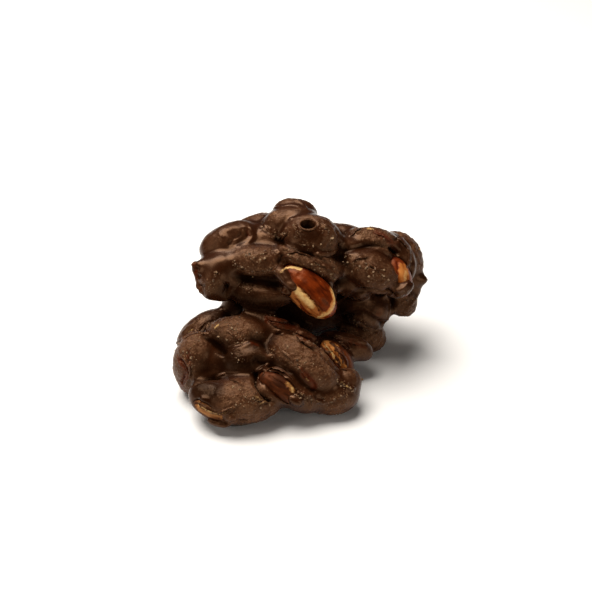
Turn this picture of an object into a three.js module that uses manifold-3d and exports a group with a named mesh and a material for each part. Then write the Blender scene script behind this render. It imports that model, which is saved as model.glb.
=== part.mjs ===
// A chocolate peanut cluster: roasted peanuts stirred into dark chocolate and left to set in one heap.
// Chocolate coats most of the peanuts and runs together between them, so they and it are one solid.
// A few kernels stay bare in places: each is a solid of its own and lies in a pocket of the chocolate.
// Millimetres. +X is to the right of the front view, +Y away from it and +Z up. It stands on z = 0, and
// the origin is under the middle of its box.

import * as THREE from 'three';
import { MarchingCubes } from 'three/addons/objects/MarchingCubes.js';
import { mergeVertices } from 'three/addons/utils/BufferGeometryUtils.js';
import Module from 'manifold-3d';

// ---- driving dimensions ----

const FILLET = 0.8; // how far the chocolate rounds the corner where two coated peanuts meet
const KERNEL_POWER = 2.2; // 2 is an ellipsoid; a peanut is a little blunter than that
const UNEVEN = 0.22; // the coat is thicker and thinner by this much
const UNEVEN_LENGTH = 7; // from one thick place to the next
const UNEVEN_SWAY = { by: 1.3, rise: 0.6, level: 0.9 }; // keeps the thick places from lying in rows
const POCKET_GAP = 0.3; // between a bare kernel and the chocolate round it
const SEAM_DEPTH = 0.4; // of the groove between a kernel's two halves
const SEAM_WIDTH = 0.9;

const BUBBLE = { at: [1.3, 8.9, 35.0], across: 3.7, deep: 2.2, lean: 5, lip: 0.4 }; // burst, on the dome

// ---- how finely it is faceted ----

const GRID_STEPS = 64; // the chocolate is skinned on a cubic grid of this many steps
const GRID_HALF = 54.5; // half the side of that grid
const GRID_CENTRE = new THREE.Vector3(0, 3, 18);
const GRID_REACH = 34; // no chocolate is further than this from the grid's centre along an axis
const OUTSIDE = -5; // the field's value out there
const RELAX_PASSES = 4; // these even out the triangles of the skin
const RELAX_STEP = 0.4; // the most that a vertex moves back towards the coat in one pass
const STEEP_ENOUGH = 0.6; // the field's slope; below it a vertex is at the bottom of a crease
const SLOPE_REACH = 0.05; // to each side of a vertex, where the field's slope is taken
const SAME_CORNER = 1e-4; // corners nearer than this are one corner
const SAME_GRID_CORNER = 1e-6; // the same on the skin's own grid, which is 2 across
const MOST_TRIANGLES = 40000; // the skin has room for these
const ON_AXIS = 1e-6; // nearer than this to a kernel's axis or middle, directions aren't taken
const KERNEL_FACETS = [22, 11]; // round the long axis and along it
const POCKET_FACETS = [15, 9];
const CHIP_FACETS = [8, 5];
const BUBBLE_FACETS = { around: 16, hollow: 8, lip: 6 };

// ---- the peanuts that chocolate coats ----
// name, middle [x, y, z], heading and rise of the long axis in degrees, length and girth over the chocolate

const COATED = [
  // the lower lobe, from the front left round to the right
  ['foot_left', [-18.8, -14.8, 5.2], -11, -15, 12.5, 8.6],
  ['foot_front', [-13.6, -15.6, 5.4], 3, 3, 19.0, 10.4],
  ['foot_under', [-14.5, -14.5, 1.5], 5, 0, 12.0, 7.0],
  ['left_flank', [-23.4, -5.2, 7.5], 28, 80, 15.5, 10.5],
  ['left_back', [-22.1, 3.7, 9.9], 22, 25, 14.2, 8.2],
  ['top_front', [-13.8, -2.2, 13.2], -3, -4, 14.2, 9.0],
  ['mid_valley', [-11.5, -7.5, 10.4], 3, 4, 13.0, 8.0],
  ['pool_lower', [-18.5, -6.0, 8.6], 0, 0, 12.0, 8.4],
  ['ridge_back', [-8.0, 0.0, 13.0], -12, -16, 14.0, 7.5],
  ['ridge_flake', [-0.5, -1.0, 12.0], -20, -20, 12.0, 4.0],
  ['big_right', [0.5, -9.0, 10.5], -32, -23, 18.0, 9.6],
  ['front_right_a', [-2.5, -13.0, 7.0], -20, -26, 16.0, 8.3],
  ['front_right_b', [5.8, -12.0, 4.3], 2, 2, 14.0, 9.0],
  ['right_corner', [9.3, -10.8, 5.6], 45, 45, 9.0, 7.0],
  ['tongue', [10.0, 1.5, 7.5], -11, -15, 13.5, 6.0],
  // the upper lobe, from its front left round to the right
  ['block_left', [-19.2, 4.8, 23.8], 65, 52, 10.5, 7.6],
  ['block_top', [-20.0, 6.0, 25.4], -10, 0, 7.5, 6.0],
  ['block_foot', [-18.4, 3.6, 21.6], -12, -8, 7.5, 5.6],
  ['block_bridge', [-17.6, 6.0, 25.9], 0, 0, 9.0, 6.6],
  ['block_web', [-15.8, 5.2, 23.9], 30, 0, 6.0, 6.0],
  ['neck', [-14.5, 8.0, 17.0], 60, 75, 13.0, 7.0],
  ['front_low', [-9.0, 3.9, 20.2], -2, -2, 15.0, 6.8],
  ['band', [-10.0, 6.5, 26.7], -2, -2, 15.0, 7.6],
  ['crown_left', [-16.2, 12.3, 28.3], 13, 18, 14.8, 8.6],
  ['back_left', [-9.5, 18.0, 28.0], 3, 4, 12.0, 7.5],
  ['pool_left', [-7.5, 12.2, 28.4], 2, 2, 14.0, 7.0],
  ['peak', [-1.5, 18.5, 32.0], -6, -8, 10.5, 7.0],
  ['shelf', [-2.5, 15.0, 31.5], 3, 4, 13.0, 8.0],
  ['dome', [2.2, 10.8, 30.6], -7, -10, 13.5, 10.2],
  ['bubble_mound', [1.3, 8.1, 33.7], 0, 0, 5.2, 3.2],
  ['ridge_mid', [1.5, 5.9, 27.3], -15, -20, 15.5, 6.6],
  ['pool_right', [9.0, 11.0, 26.6], 0, 0, 12.0, 7.0],
  ['back_low', [8.5, 17.0, 26.3], 0, 0, 12.0, 7.0],
  ['web', [11.0, 8.5, 20.5], -12, -16, 12.0, 8.0],
  ['big_nut_right', [14.9, 7.6, 23.7], -15, -24, 15.0, 8.6],
  ['arc_top', [15.9, 13.4, 27.1], -7, -10, 13.5, 7.8],
  ['arc_right', [21.6, 13.2, 23.6], -55, -50, 12.5, 7.5],
  ['far_right', [23.2, 18.5, 20.8], -45, -45, 12.4, 8.7],
  ['low_right', [21.6, 15.0, 12.7], -30, -42, 13.0, 8.0],
  ['tail', [24.9, 15.2, 16.8], -25, -10, 6.5, 3.6],
  ['tail_tip', [28.0, 14.6, 16.4], 20, 10, 3.0, 2.3],
  ['tail_foot', [26.2, 15.0, 14.2], -20, -60, 4.5, 3.0],
  ['dark_round', [14.0, 11.0, 11.5], -9, -12, 14.0, 9.0],
  ['rough_low', [14.0, 9.8, 4.9], -15, -20, 12.0, 8.0],
  // the far side
  ['rear_high', [-6.0, 22.0, 24.0], -12, -28, 15.0, 9.0],
  ['rear_mid', [5.0, 22.5, 20.5], 35, 24, 14.5, 8.6],
  ['rear_right', [14.5, 20.5, 19.0], -15, 12, 14.5, 8.6],
  ['rear_left', [-14.0, 17.0, 20.5], 40, -52, 14.5, 8.8],
  ['rear_low_left', [-8.5, 21.0, 14.0], -18, 30, 15.0, 8.8],
  ['rear_low_mid', [1.5, 24.0, 12.5], 8, -35, 14.0, 9.0],
  ['rear_low_right', [11.5, 22.5, 11.0], 12, -18, 15.0, 8.8],
  ['rear_foot_left', [-9.0, 14.0, 4.6], -35, 10, 15.0, 9.0],
  ['rear_foot_mid', [1.0, 19.5, 4.3], 12, -4, 15.5, 9.2],
  ['rear_foot_right', [13.5, 17.0, 4.2], -28, 6, 13.0, 8.6],
  ['left_rear_foot', [-17.0, 4.0, 4.1], 62, 8, 13.5, 8.4],
  // what fills the middle
  ['core_low', [-6.0, -5.0, 5.6], 0, 0, 30.0, 12.0],
  ['core_front', [-13.0, -11.0, 4.6], 20, 0, 18.0, 9.6],
  ['core_left', [-14.5, 8.5, 5.5], 80, 10, 15.0, 10.0],
  ['core_mid', [-2.0, 14.0, 11.0], 0, 0, 26.0, 16.0],
  ['core_high', [0.0, 14.0, 22.0], 0, 0, 36.0, 16.0],
];

// ---- the torn edge at the far left: small chips on its outer side ----

const CHIPS = [
  ['torn_top', [-23.4, 5.0, 27.3], 160, 35, 3.4, 1.5],
  ['torn_high', [-23.6, 4.6, 25.8], 170, 5, 2.4, 1.7],
  ['torn_mid', [-22.9, 4.3, 24.0], 175, -10, 2.4, 1.7],
  ['torn_low', [-22.6, 4.2, 22.4], 165, 10, 2.4, 1.6],
  ['torn_foot', [-21.4, 4.0, 20.9], 170, -25, 2.4, 1.7],
];

// ---- the kernels that show bare ----
// as above, then how far round the long axis the seam between the kernel's halves lies, in degrees

const BARE = [
  ['half_front', [1.5, 1.5, 22.5], -30, -35, 15.0, 8.2, 159],
  ['tan_right', [21.3, 8.7, 21.5], -58, -50, 9.8, 6.2, 120],
  ['tan_rough', [7.7, -4.6, 8.5], -36, -40, 10.0, 5.6, 150],
  ['skin_front', [-4.7, -14.6, 8.4], -20, -26, 10.5, 5.0, 200],
  ['foot_kernel', [-18.4, -17.8, 4.7], -11, -15, 10.5, 4.6, 250],
];

// the chocolate that each of them lies in
const BEDS = [
  ['half_front_bed', [1.8, 3.9, 21.9], -30, -35, 15.0, 8.2],
  ['tan_right_bed', [20.4, 10.2, 21.0], -58, -50, 11.5, 7.6],
  ['tan_rough_bed', [6.9, -3.2, 7.0], -36, -40, 12.5, 7.2],
  ['skin_front_bed', [-4.2, -13.7, 7.6], -20, -26, 12.5, 6.8],
  ['foot_kernel_bed', [-18.0, -15.9, 5.0], -11, -15, 12.0, 6.4],
];

// ---- creases deeper than where two peanuts meet: a route, half its width and its depth ----

const CREASES = [
  { route: [[-16, 2.5, 24], [-13.5, 2.5, 25], [-9.5, 1.5, 25.5], [-5.5, 1, 25]], width: 2, depth: 0.9 },
  { route: [[-5.5, 10, 30.5], [-3.5, 7, 31], [-0.5, 5, 31], [2, 4.5, 30]], width: 1.6, depth: 0.6 },
  { route: [[20, 10, 28], [21, 10, 27]], width: 1.6, depth: 1.6 },
  { route: [[-10, -12, 10], [-10, -15.5, 10.5], [-8.5, -17.5, 9.5], [-6, -18.5, 8]], width: 1.6, depth: 1.2 },
  { route: [[-21, -4.5, 15], [-19, -6, 13.5], [-17, -7, 12]], width: 1.8, depth: 0.7 },
  { route: [[-23, -13, 8.5], [-21, -11, 7.5], [-19, -10, 7.5]], width: 1.8, depth: 0.7 },
];

const COLOURS = {
  chocolate: [0x3b2317, 0.42],
  half_front: [0xa85a26, 0.4],
  tan_right: [0xb4763a, 0.5],
  tan_rough: [0xb98546, 0.7],
  skin_front: [0x7c4526, 0.5],
  foot_kernel: [0x9c7048, 0.7],
};

const wasm = await Module();
wasm.setup();

// ---- one peanut ----

function placement([, at, heading, rise]) {
  const turn = new THREE.Euler(0, -THREE.MathUtils.degToRad(rise), THREE.MathUtils.degToRad(heading), 'ZYX');
  return new THREE.Matrix4().makeRotationFromEuler(turn).setPosition(...at);
}

// About how far a point is outside the blunt ellipsoid, measured in its own frame.
function distanceFromKernel(point, halfLength, halfGirth) {
  const along = Math.abs(point.x) / halfLength;
  const across = Math.hypot(point.y, point.z) / halfGirth;
  const level = (along ** KERNEL_POWER + across ** KERNEL_POWER) ** (1 / KERNEL_POWER);
  if (level < ON_AXIS) return -halfGirth;
  const slope = Math.hypot(
    along ** (KERNEL_POWER - 1) / halfLength,
    across ** (KERNEL_POWER - 1) / halfGirth,
  ) / level ** (KERNEL_POWER - 1);
  return (level - 1) / slope;
}

function lump(row) {
  const [, at, , , length, girth] = row;
  const toLocal = placement(row).invert();
  return { middle: new THREE.Vector3(...at), toLocal, halfLength: length / 2, halfGirth: girth / 2 };
}

// ---- the chocolate ----

const TABLE = [90, 90, 20]; // what the chocolate set on: it is cut flat there, at z = 0
const LUMPS = [...COATED, ...BEDS].map(lump);
const CREASE_LINES = CREASES.map(({ route, width, depth }) => {
  const points = route.map((point) => new THREE.Vector3(...point));
  return { lines: points.slice(1).map((end, i) => new THREE.Line3(points[i], end)), width, depth };
});
const FAR = 6; // a lump this far off can't be the nearest one
const NEAR = 4; // once a lump is nearer than this, those far off are passed over

const local = new THREE.Vector3();
const onLine = new THREE.Vector3();

function uneven(x, y, z) {
  const k = (2 * Math.PI) / UNEVEN_LENGTH;
  const { by, rise, level } = UNEVEN_SWAY;
  return UNEVEN * Math.sin(k * x + by * Math.sin(k * rise * z)) * Math.sin(k * y) * Math.cos(k * level * z);
}

// How much deeper the coat's surface lies at a point because of the creases.
function creased(x, y, z) {
  local.set(x, y, z);
  let sunk = 0;
  for (const { lines, width, depth } of CREASE_LINES) {
    const gaps = lines.map((line) => line.closestPointToPoint(local, true, onLine).distanceTo(local));
    const gap = Math.min(...gaps);
    if (gap < width) sunk += depth * (1 - gap / width);
  }
  return sunk;
}

// Distance outside the coat: the lumps' distances joined by a smooth minimum that fills their corners.
function outsideCoat(x, y, z) {
  let total = 0;
  let nearest = Infinity;
  const distances = [];
  for (const { middle, toLocal, halfLength, halfGirth } of LUMPS) {
    local.set(x, y, z);
    if (local.distanceTo(middle) > halfLength + FAR && nearest < NEAR) continue;
    local.applyMatrix4(toLocal);
    const distance = distanceFromKernel(local, halfLength, halfGirth);
    distances.push(distance);
    nearest = Math.min(nearest, distance);
  }
  for (const distance of distances) total += Math.exp((nearest - distance) / FILLET);
  const open = nearest < NEAR ? creased(x, y, z) : 0;
  return nearest - (FILLET / 2) * Math.log(total) + uneven(x, y, z) + open;
}

function skinOfCoat() {
  const skin = new MarchingCubes(GRID_STEPS, new THREE.MeshStandardMaterial(), false, false, MOST_TRIANGLES);
  const step = (2 * GRID_HALF) / GRID_STEPS;
  let i = 0;
  for (let k = 0; k < GRID_STEPS; k++) {
    const z = GRID_CENTRE.z - GRID_HALF + k * step;
    for (let j = 0; j < GRID_STEPS; j++) {
      const y = GRID_CENTRE.y - GRID_HALF + j * step;
      for (let h = 0; h < GRID_STEPS; h++) {
        const x = GRID_CENTRE.x - GRID_HALF + h * step;
        const off = Math.max(Math.abs(x), Math.abs(y - GRID_CENTRE.y), Math.abs(z - GRID_CENTRE.z));
        skin.field[i] = off > GRID_REACH ? OUTSIDE : -outsideCoat(x, y, z);
        i += 1;
      }
    }
  }
  skin.isolation = 0;
  skin.update();
  const points = new Float32Array(skin.count * 3);
  for (let n = 0; n < skin.count * 3; n++) points[n] = skin.positionArray[n];
  const geometry = new THREE.BufferGeometry();
  geometry.setAttribute('position', new THREE.BufferAttribute(points, 3));
  const merged = welded(geometry, SAME_GRID_CORNER);
  merged.scale(GRID_HALF, GRID_HALF, GRID_HALF);
  merged.translate(...GRID_CENTRE);
  return merged;
}

// Moves each vertex towards the middle of its neighbours and then back onto the coat's true surface.
function relax(geometry) {
  const position = geometry.attributes.position;
  const index = geometry.index.array;
  const neighbours = Array.from({ length: position.count }, () => new Set());
  for (let i = 0; i < index.length; i += 3) {
    for (let corner = 0; corner < 3; corner++) {
      const from = index[i + corner];
      neighbours[from].add(index[i + ((corner + 1) % 3)]);
      neighbours[from].add(index[i + ((corner + 2) % 3)]);
    }
  }
  const points = neighbours.map((_, n) => new THREE.Vector3().fromBufferAttribute(position, n));
  for (let pass = 0; pass < RELAX_PASSES; pass++) {
    const averages = neighbours.map((around) => {
      const sum = new THREE.Vector3();
      for (const n of around) sum.add(points[n]);
      return sum.divideScalar(around.size);
    });
    points.forEach((point, n) => {
      point.lerp(averages[n], 0.5);
      settleOnCoat(point);
    });
  }
  points.forEach((point, n) => position.setXYZ(n, ...point));
  return geometry;
}

function settleOnCoat(point) {
  const e = SLOPE_REACH;
  const { x, y, z } = point;
  const distance = outsideCoat(x, y, z);
  const slope = new THREE.Vector3(
    outsideCoat(x + e, y, z) - outsideCoat(x - e, y, z),
    outsideCoat(x, y + e, z) - outsideCoat(x, y - e, z),
    outsideCoat(x, y, z + e) - outsideCoat(x, y, z - e),
  ).divideScalar(2 * e);
  if (slope.length() < STEEP_ENOUGH) return;
  const step = THREE.MathUtils.clamp(distance / slope.length(), -RELAX_STEP, RELAX_STEP);
  point.addScaledVector(slope.normalize(), -step);
}

// ---- closed meshes and the cuts between them ----

function welded(geometry, within) {
  geometry.deleteAttribute('normal');
  geometry.deleteAttribute('uv');
  return mergeVertices(geometry, within);
}

function solidOf(geometry) {
  const merged = welded(geometry, SAME_CORNER);
  return new wasm.Manifold(new wasm.Mesh({
    numProp: 3,
    vertProperties: new Float32Array(merged.attributes.position.array),
    triVerts: new Uint32Array(merged.index.array),
  }));
}

function geometryOf(solid) {
  const { vertProperties, triVerts } = solid.getMesh();
  const geometry = new THREE.BufferGeometry();
  geometry.setAttribute('position', new THREE.BufferAttribute(vertProperties, 3));
  geometry.setIndex(new THREE.BufferAttribute(triVerts, 1));
  return geometry;
}

function largestPiece(solid) {
  return solid.decompose().reduce((a, b) => (a.volume() > b.volume() ? a : b));
}

// A kernel's skin: a sphere drawn out to the blunt ellipsoid, with the seam of its two halves sunk in it.
function kernelGeometry(row, grown, seamDepth, [around, along]) {
  const [, , , , length, girth, seamAngle = 90] = row;
  const geometry = welded(new THREE.SphereGeometry(1, around, along), SAME_CORNER).rotateZ(-Math.PI / 2);
  const position = geometry.attributes.position;
  const point = new THREE.Vector3();
  for (let i = 0; i < position.count; i++) {
    point.fromBufferAttribute(position, i);
    const level = Math.abs(point.x) ** KERNEL_POWER + Math.hypot(point.y, point.z) ** KERNEL_POWER;
    point.multiplyScalar(level ** (-1 / KERNEL_POWER));
    point.multiply(new THREE.Vector3(length / 2 + grown, girth / 2 + grown, girth / 2 + grown));
    const toSeam = Math.min(Math.abs(point.y), SEAM_WIDTH * 4);
    const sink = seamDepth * Math.exp(-((toSeam / SEAM_WIDTH) ** 2));
    const radius = Math.hypot(point.y, point.z);
    if (radius > ON_AXIS) {
      point.y *= 1 - sink / Math.max(radius, 1);
      point.z *= 1 - sink / Math.max(radius, 1);
    }
    position.setXYZ(i, ...point);
  }
  geometry.rotateX(THREE.MathUtils.degToRad(seamAngle - 90));
  return geometry.applyMatrix4(placement(row));
}

// The burst bubble: a round hollow in a thin ring of chocolate.
function bubble() {
  const { at, across, deep, lean, lip } = BUBBLE;
  const { around, hollow: rings, lip: sides } = BUBBLE_FACETS;
  const hollow = welded(new THREE.SphereGeometry(1, around, rings), SAME_CORNER).rotateX(Math.PI / 2);
  hollow.scale((across - lip / 2) / 2, (across - lip / 2) / 2, deep);
  const ring = welded(new THREE.TorusGeometry(across / 2, lip / 2, sides, around), SAME_CORNER);
  for (const shape of [hollow, ring]) {
    shape.rotateX(THREE.MathUtils.degToRad(lean));
    shape.translate(...at);
  }
  return { hollow: solidOf(hollow), ring: solidOf(ring) };
}

function chocolate() {
  let solid = largestPiece(solidOf(relax(skinOfCoat())));
  for (const row of CHIPS) solid = solid.add(solidOf(kernelGeometry(row, 0, 0, CHIP_FACETS)));
  const burst = bubble();
  solid = solid.add(burst.ring).subtract(burst.hollow);
  for (const row of BARE) solid = solid.subtract(solidOf(kernelGeometry(row, POCKET_GAP, 0, POCKET_FACETS)));
  const table = new THREE.BoxGeometry(...TABLE).translate(0, 0, -TABLE[2] / 2);
  return largestPiece(solid.subtract(solidOf(table)));
}

// ---- the cluster ----

function piece(name, geometry) {
  const [color, roughness] = COLOURS[name];
  const mesh = new THREE.Mesh(geometry, new THREE.MeshStandardMaterial({ color, roughness, metalness: 0 }));
  mesh.name = name;
  return mesh;
}

const cluster = new THREE.Group();
cluster.name = 'chocolate_peanut_cluster';
cluster.add(piece('chocolate', geometryOf(chocolate())));
for (const row of BARE) {
  cluster.add(piece(row[0], geometryOf(solidOf(kernelGeometry(row, 0, SEAM_DEPTH, KERNEL_FACETS)))));
}

const middle = new THREE.Box3().setFromObject(cluster).getCenter(new THREE.Vector3());
cluster.position.set(-middle.x, -middle.y, 0);

export default cluster;
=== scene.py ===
# %% [markdown]
# # A chocolate peanut cluster
# Roasted peanuts are stirred into melted dark chocolate and dropped in a heap, where the chocolate sets.
# The imported CAD model gives the size and the place of everything. It comes in first, as a fixed frame, and
# the box of the bare kernel at the front is read from it to tell where the rows lie.

# %% Load the imported frame
import math

import bpy
import numpy as np
from mathutils import Matrix, Vector


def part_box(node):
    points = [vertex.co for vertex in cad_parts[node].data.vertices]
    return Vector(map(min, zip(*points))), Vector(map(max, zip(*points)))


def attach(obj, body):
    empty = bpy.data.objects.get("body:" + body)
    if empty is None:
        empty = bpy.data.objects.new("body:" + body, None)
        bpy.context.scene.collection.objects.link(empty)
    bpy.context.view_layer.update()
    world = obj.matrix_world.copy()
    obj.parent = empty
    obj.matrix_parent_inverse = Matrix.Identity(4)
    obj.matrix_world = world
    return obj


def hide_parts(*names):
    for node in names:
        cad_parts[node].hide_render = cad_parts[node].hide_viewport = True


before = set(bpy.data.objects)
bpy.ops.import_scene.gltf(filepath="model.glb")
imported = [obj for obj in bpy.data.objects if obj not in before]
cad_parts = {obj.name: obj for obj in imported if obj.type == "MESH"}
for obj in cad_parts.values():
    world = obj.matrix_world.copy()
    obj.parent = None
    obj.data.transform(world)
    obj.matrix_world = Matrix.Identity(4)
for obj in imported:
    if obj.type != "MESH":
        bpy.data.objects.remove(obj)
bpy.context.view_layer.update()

MM = 0.001  # Blender works in metres here, and a sweet is easier to think of in millimetres

# %% [markdown]
# ## Small helpers
# Operators work on whatever is selected, so one helper picks a single object. Another adds a modifier and
# applies it at once, so that the next step finds the finished mesh. A third counts triangles, which tells
# how fine a mesh has become.

# %% Pick an object and apply modifiers to it
def deselect_all():
    if bpy.context.object and bpy.context.object.mode != "OBJECT":
        bpy.ops.object.mode_set(mode="OBJECT")
    bpy.ops.object.select_all(action="DESELECT")


def pick(obj):
    deselect_all()
    obj.select_set(True)
    bpy.context.view_layer.objects.active = obj
    return obj


def modify(obj, kind, **settings):
    pick(obj)
    modifier = obj.modifiers.new(kind.lower(), kind)
    for name, value in settings.items():
        setattr(modifier, name, value)
    bpy.ops.object.modifier_apply(modifier=modifier.name)
    return obj


def triangles(obj):
    return sum(len(face.vertices) - 2 for face in obj.data.polygons)


deselect_all()

# %% [markdown]
# ## Where the peanuts lie
# Each peanut is one row: its middle, the heading and the rise of its long axis in degrees, its length and
# its girth over the chocolate in millimetres, and how rough its coat is, from 0 for a smooth pool to 1 for
# a coat full of crumbs. A bare kernel has no coat, so its row is one number shorter. The CAD source has the
# same rows.

# %% The rows of peanuts
COATED = [
    # the lower lobe, from the front left round to the right
    ("foot_left", (-18.8, -14.8, 5.2), -11, -15, 12.5, 8.6, 0.5),
    ("foot_front", (-13.6, -15.6, 5.4), 3, 3, 19.0, 10.4, 0.9),
    ("foot_under", (-14.5, -14.5, 1.5), 5, 0, 12.0, 7.0, 0.1),
    ("left_flank", (-23.4, -5.2, 7.5), 28, 80, 15.5, 10.5, 0.8),
    ("left_back", (-22.1, 3.7, 9.9), 22, 25, 14.2, 8.2, 0.1),
    ("top_front", (-13.8, -2.2, 13.2), -3, -4, 14.2, 9.0, 1.0),
    ("mid_valley", (-11.5, -7.5, 10.4), 3, 4, 13.0, 8.0, 0.05),
    ("pool_lower", (-18.5, -6.0, 8.6), 0, 0, 12.0, 8.4, 0.0),
    ("ridge_back", (-8.0, 0.0, 13.0), -12, -16, 14.0, 7.5, 0.6),
    ("ridge_flake", (-0.5, -1.0, 12.0), -20, -20, 12.0, 4.0, 0.6),
    ("big_right", (0.5, -9.0, 10.5), -32, -23, 18.0, 9.6, 0.9),
    ("front_right_a", (-2.5, -13.0, 7.0), -20, -26, 16.0, 8.3, 0.7),
    ("front_right_b", (5.8, -12.0, 4.3), 2, 2, 14.0, 9.0, 1.0),
    ("right_corner", (9.3, -10.8, 5.6), 45, 45, 9.0, 7.0, 0.9),
    ("tongue", (10.0, 1.5, 7.5), -11, -15, 13.5, 6.0, 0.1),
    # the upper lobe, from its front left round to the right
    ("block_left", (-19.2, 4.8, 23.8), 65, 52, 10.5, 7.6, 0.9),
    ("block_top", (-20.0, 6.0, 25.4), -10, 0, 7.5, 6.0, 0.5),
    ("block_foot", (-18.4, 3.6, 21.6), -12, -8, 7.5, 5.6, 0.7),
    ("block_bridge", (-17.6, 6.0, 25.9), 0, 0, 9.0, 6.6, 0.2),
    ("block_web", (-15.8, 5.2, 23.9), 30, 0, 6.0, 6.0, 0.1),
    ("neck", (-14.5, 8.0, 17.0), 60, 75, 13.0, 7.0, 0.0),
    ("front_low", (-9.0, 3.9, 20.2), -2, -2, 15.0, 6.8, 0.2),
    ("band", (-10.0, 6.5, 26.7), -2, -2, 15.0, 7.6, 0.5),
    ("crown_left", (-16.2, 12.3, 28.3), 13, 18, 14.8, 8.6, 0.05),
    ("back_left", (-9.5, 18.0, 28.0), 3, 4, 12.0, 7.5, 0.5),
    ("pool_left", (-7.5, 12.2, 28.4), 2, 2, 14.0, 7.0, 0.0),
    ("peak", (-1.5, 18.5, 32.0), -6, -8, 10.5, 7.0, 0.6),
    ("shelf", (-2.5, 15.0, 31.5), 3, 4, 13.0, 8.0, 0.5),
    ("dome", (2.2, 10.8, 30.6), -7, -10, 13.5, 10.2, 0.4),
    ("bubble_mound", (1.3, 8.1, 33.7), 0, 0, 5.2, 3.2, 0.3),
    ("ridge_mid", (1.5, 5.9, 27.3), -15, -20, 15.5, 6.6, 1.0),
    ("pool_right", (9.0, 11.0, 26.6), 0, 0, 12.0, 7.0, 0.0),
    ("back_low", (8.5, 17.0, 26.3), 0, 0, 12.0, 7.0, 0.3),
    ("web", (11.0, 8.5, 20.5), -12, -16, 12.0, 8.0, 0.0),
    ("big_nut_right", (14.9, 7.6, 23.7), -15, -24, 15.0, 8.6, 0.5),
    ("arc_top", (15.9, 13.4, 27.1), -7, -10, 13.5, 7.8, 0.9),
    ("arc_right", (21.6, 13.2, 23.6), -55, -50, 12.5, 7.5, 0.4),
    ("far_right", (23.2, 18.5, 20.8), -45, -45, 12.4, 8.7, 1.0),
    ("low_right", (21.6, 15.0, 12.7), -30, -42, 13.0, 8.0, 1.0),
    ("tail", (24.9, 15.2, 16.8), -25, -10, 6.5, 3.6, 0.2),
    ("tail_tip", (28.0, 14.6, 16.4), 20, 10, 3.0, 2.3, 0.2),
    ("tail_foot", (26.2, 15.0, 14.2), -20, -60, 4.5, 3.0, 0.9),
    # the torn edge at the far left, as small chips
    ("torn_top", (-23.4, 5.0, 27.3), 160, 35, 3.4, 1.5, 0.3),
    ("torn_high", (-23.6, 4.6, 25.8), 170, 5, 2.4, 1.7, 0.3),
    ("torn_mid", (-22.9, 4.3, 24.0), 175, -10, 2.4, 1.7, 0.3),
    ("torn_low", (-22.6, 4.2, 22.4), 165, 10, 2.4, 1.6, 0.3),
    ("torn_foot", (-21.4, 4.0, 20.9), 170, -25, 2.4, 1.7, 0.3),
    ("dark_round", (14.0, 11.0, 11.5), -9, -12, 14.0, 9.0, 0.1),
    ("rough_low", (14.0, 9.8, 4.9), -15, -20, 12.0, 8.0, 1.0),
    # the far side
    ("rear_high", (-6.0, 22.0, 24.0), -12, -28, 15.0, 9.0, 0.8),
    ("rear_mid", (5.0, 22.5, 20.5), 35, 24, 14.5, 8.6, 0.3),
    ("rear_right", (14.5, 20.5, 19.0), -15, 12, 14.5, 8.6, 0.8),
    ("rear_left", (-14.0, 17.0, 20.5), 40, -52, 14.5, 8.8, 0.5),
    ("rear_low_left", (-8.5, 21.0, 14.0), -18, 30, 15.0, 8.8, 0.9),
    ("rear_low_mid", (1.5, 24.0, 12.5), 8, -35, 14.0, 9.0, 0.7),
    ("rear_low_right", (11.5, 22.5, 11.0), 12, -18, 15.0, 8.8, 0.3),
    ("rear_foot_left", (-9.0, 14.0, 4.6), -35, 10, 15.0, 9.0, 0.4),
    ("rear_foot_mid", (1.0, 19.5, 4.3), 12, -4, 15.5, 9.2, 0.8),
    ("rear_foot_right", (13.5, 17.0, 4.2), -28, 6, 13.0, 8.6, 0.6),
    ("left_rear_foot", (-17.0, 4.0, 4.1), 62, 8, 13.5, 8.4, 0.7),
    # what fills the middle
    ("core_low", (-6.0, -5.0, 5.6), 0, 0, 30.0, 12.0, 0.0),
    ("core_front", (-13.0, -11.0, 4.6), 20, 0, 18.0, 9.6, 0.0),
    ("core_left", (-14.5, 8.5, 5.5), 80, 10, 15.0, 10.0, 0.0),
    ("core_mid", (-2.0, 14.0, 11.0), 0, 0, 26.0, 16.0, 0.0),
    ("core_high", (0.0, 14.0, 22.0), 0, 0, 36.0, 16.0, 0.0),
]
BARE = [
    ("half_front", (1.5, 1.5, 22.5), -30, -35, 15.0, 8.2),
    ("tan_right", (21.3, 8.7, 21.5), -58, -50, 9.8, 6.2),
    ("tan_rough", (7.7, -4.6, 8.5), -36, -40, 10.0, 5.6),
    ("skin_front", (-4.7, -14.6, 8.4), -20, -26, 10.5, 5.0),
    ("foot_kernel", (-18.4, -17.8, 4.7), -11, -15, 10.5, 4.6),
]
BEDS = [  # the same kernels set back a little: the chocolate that each of them lies in
    ("half_front_bed", (1.8, 3.9, 21.9), -30, -35, 15.0, 8.2, 0.0),
    ("tan_right_bed", (20.4, 10.2, 21.0), -58, -50, 11.5, 7.6, 0.1),
    ("tan_rough_bed", (6.9, -3.2, 7.0), -36, -40, 12.5, 7.2, 0.1),
    ("skin_front_bed", (-4.2, -13.7, 7.6), -20, -26, 12.5, 6.8, 0.2),
    ("foot_kernel_bed", (-18.0, -15.9, 5.0), -11, -15, 12.0, 6.4, 0.3),
]
print(len(COATED), "coated peanuts and", len(BARE), "bare ones")

# %% [markdown]
# The CAD file puts its origin in the middle of the box's underside, and the rows don't. The bare kernel at
# the front is in both, so it tells how far everything moves.

# %% Find how far the rows move
half_front = next(row for row in BARE if row[0] == "half_front")
low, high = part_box("half_front")
MOVED = (low + high) / 2 - Vector(half_front[1]) * MM


def place(point):
    """A point of the rows, in millimetres, as a place in the scene, in metres."""
    return Vector(point) * MM + MOVED


print("rows moved by mm:", [round(v / MM, 2) for v in MOVED])

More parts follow.
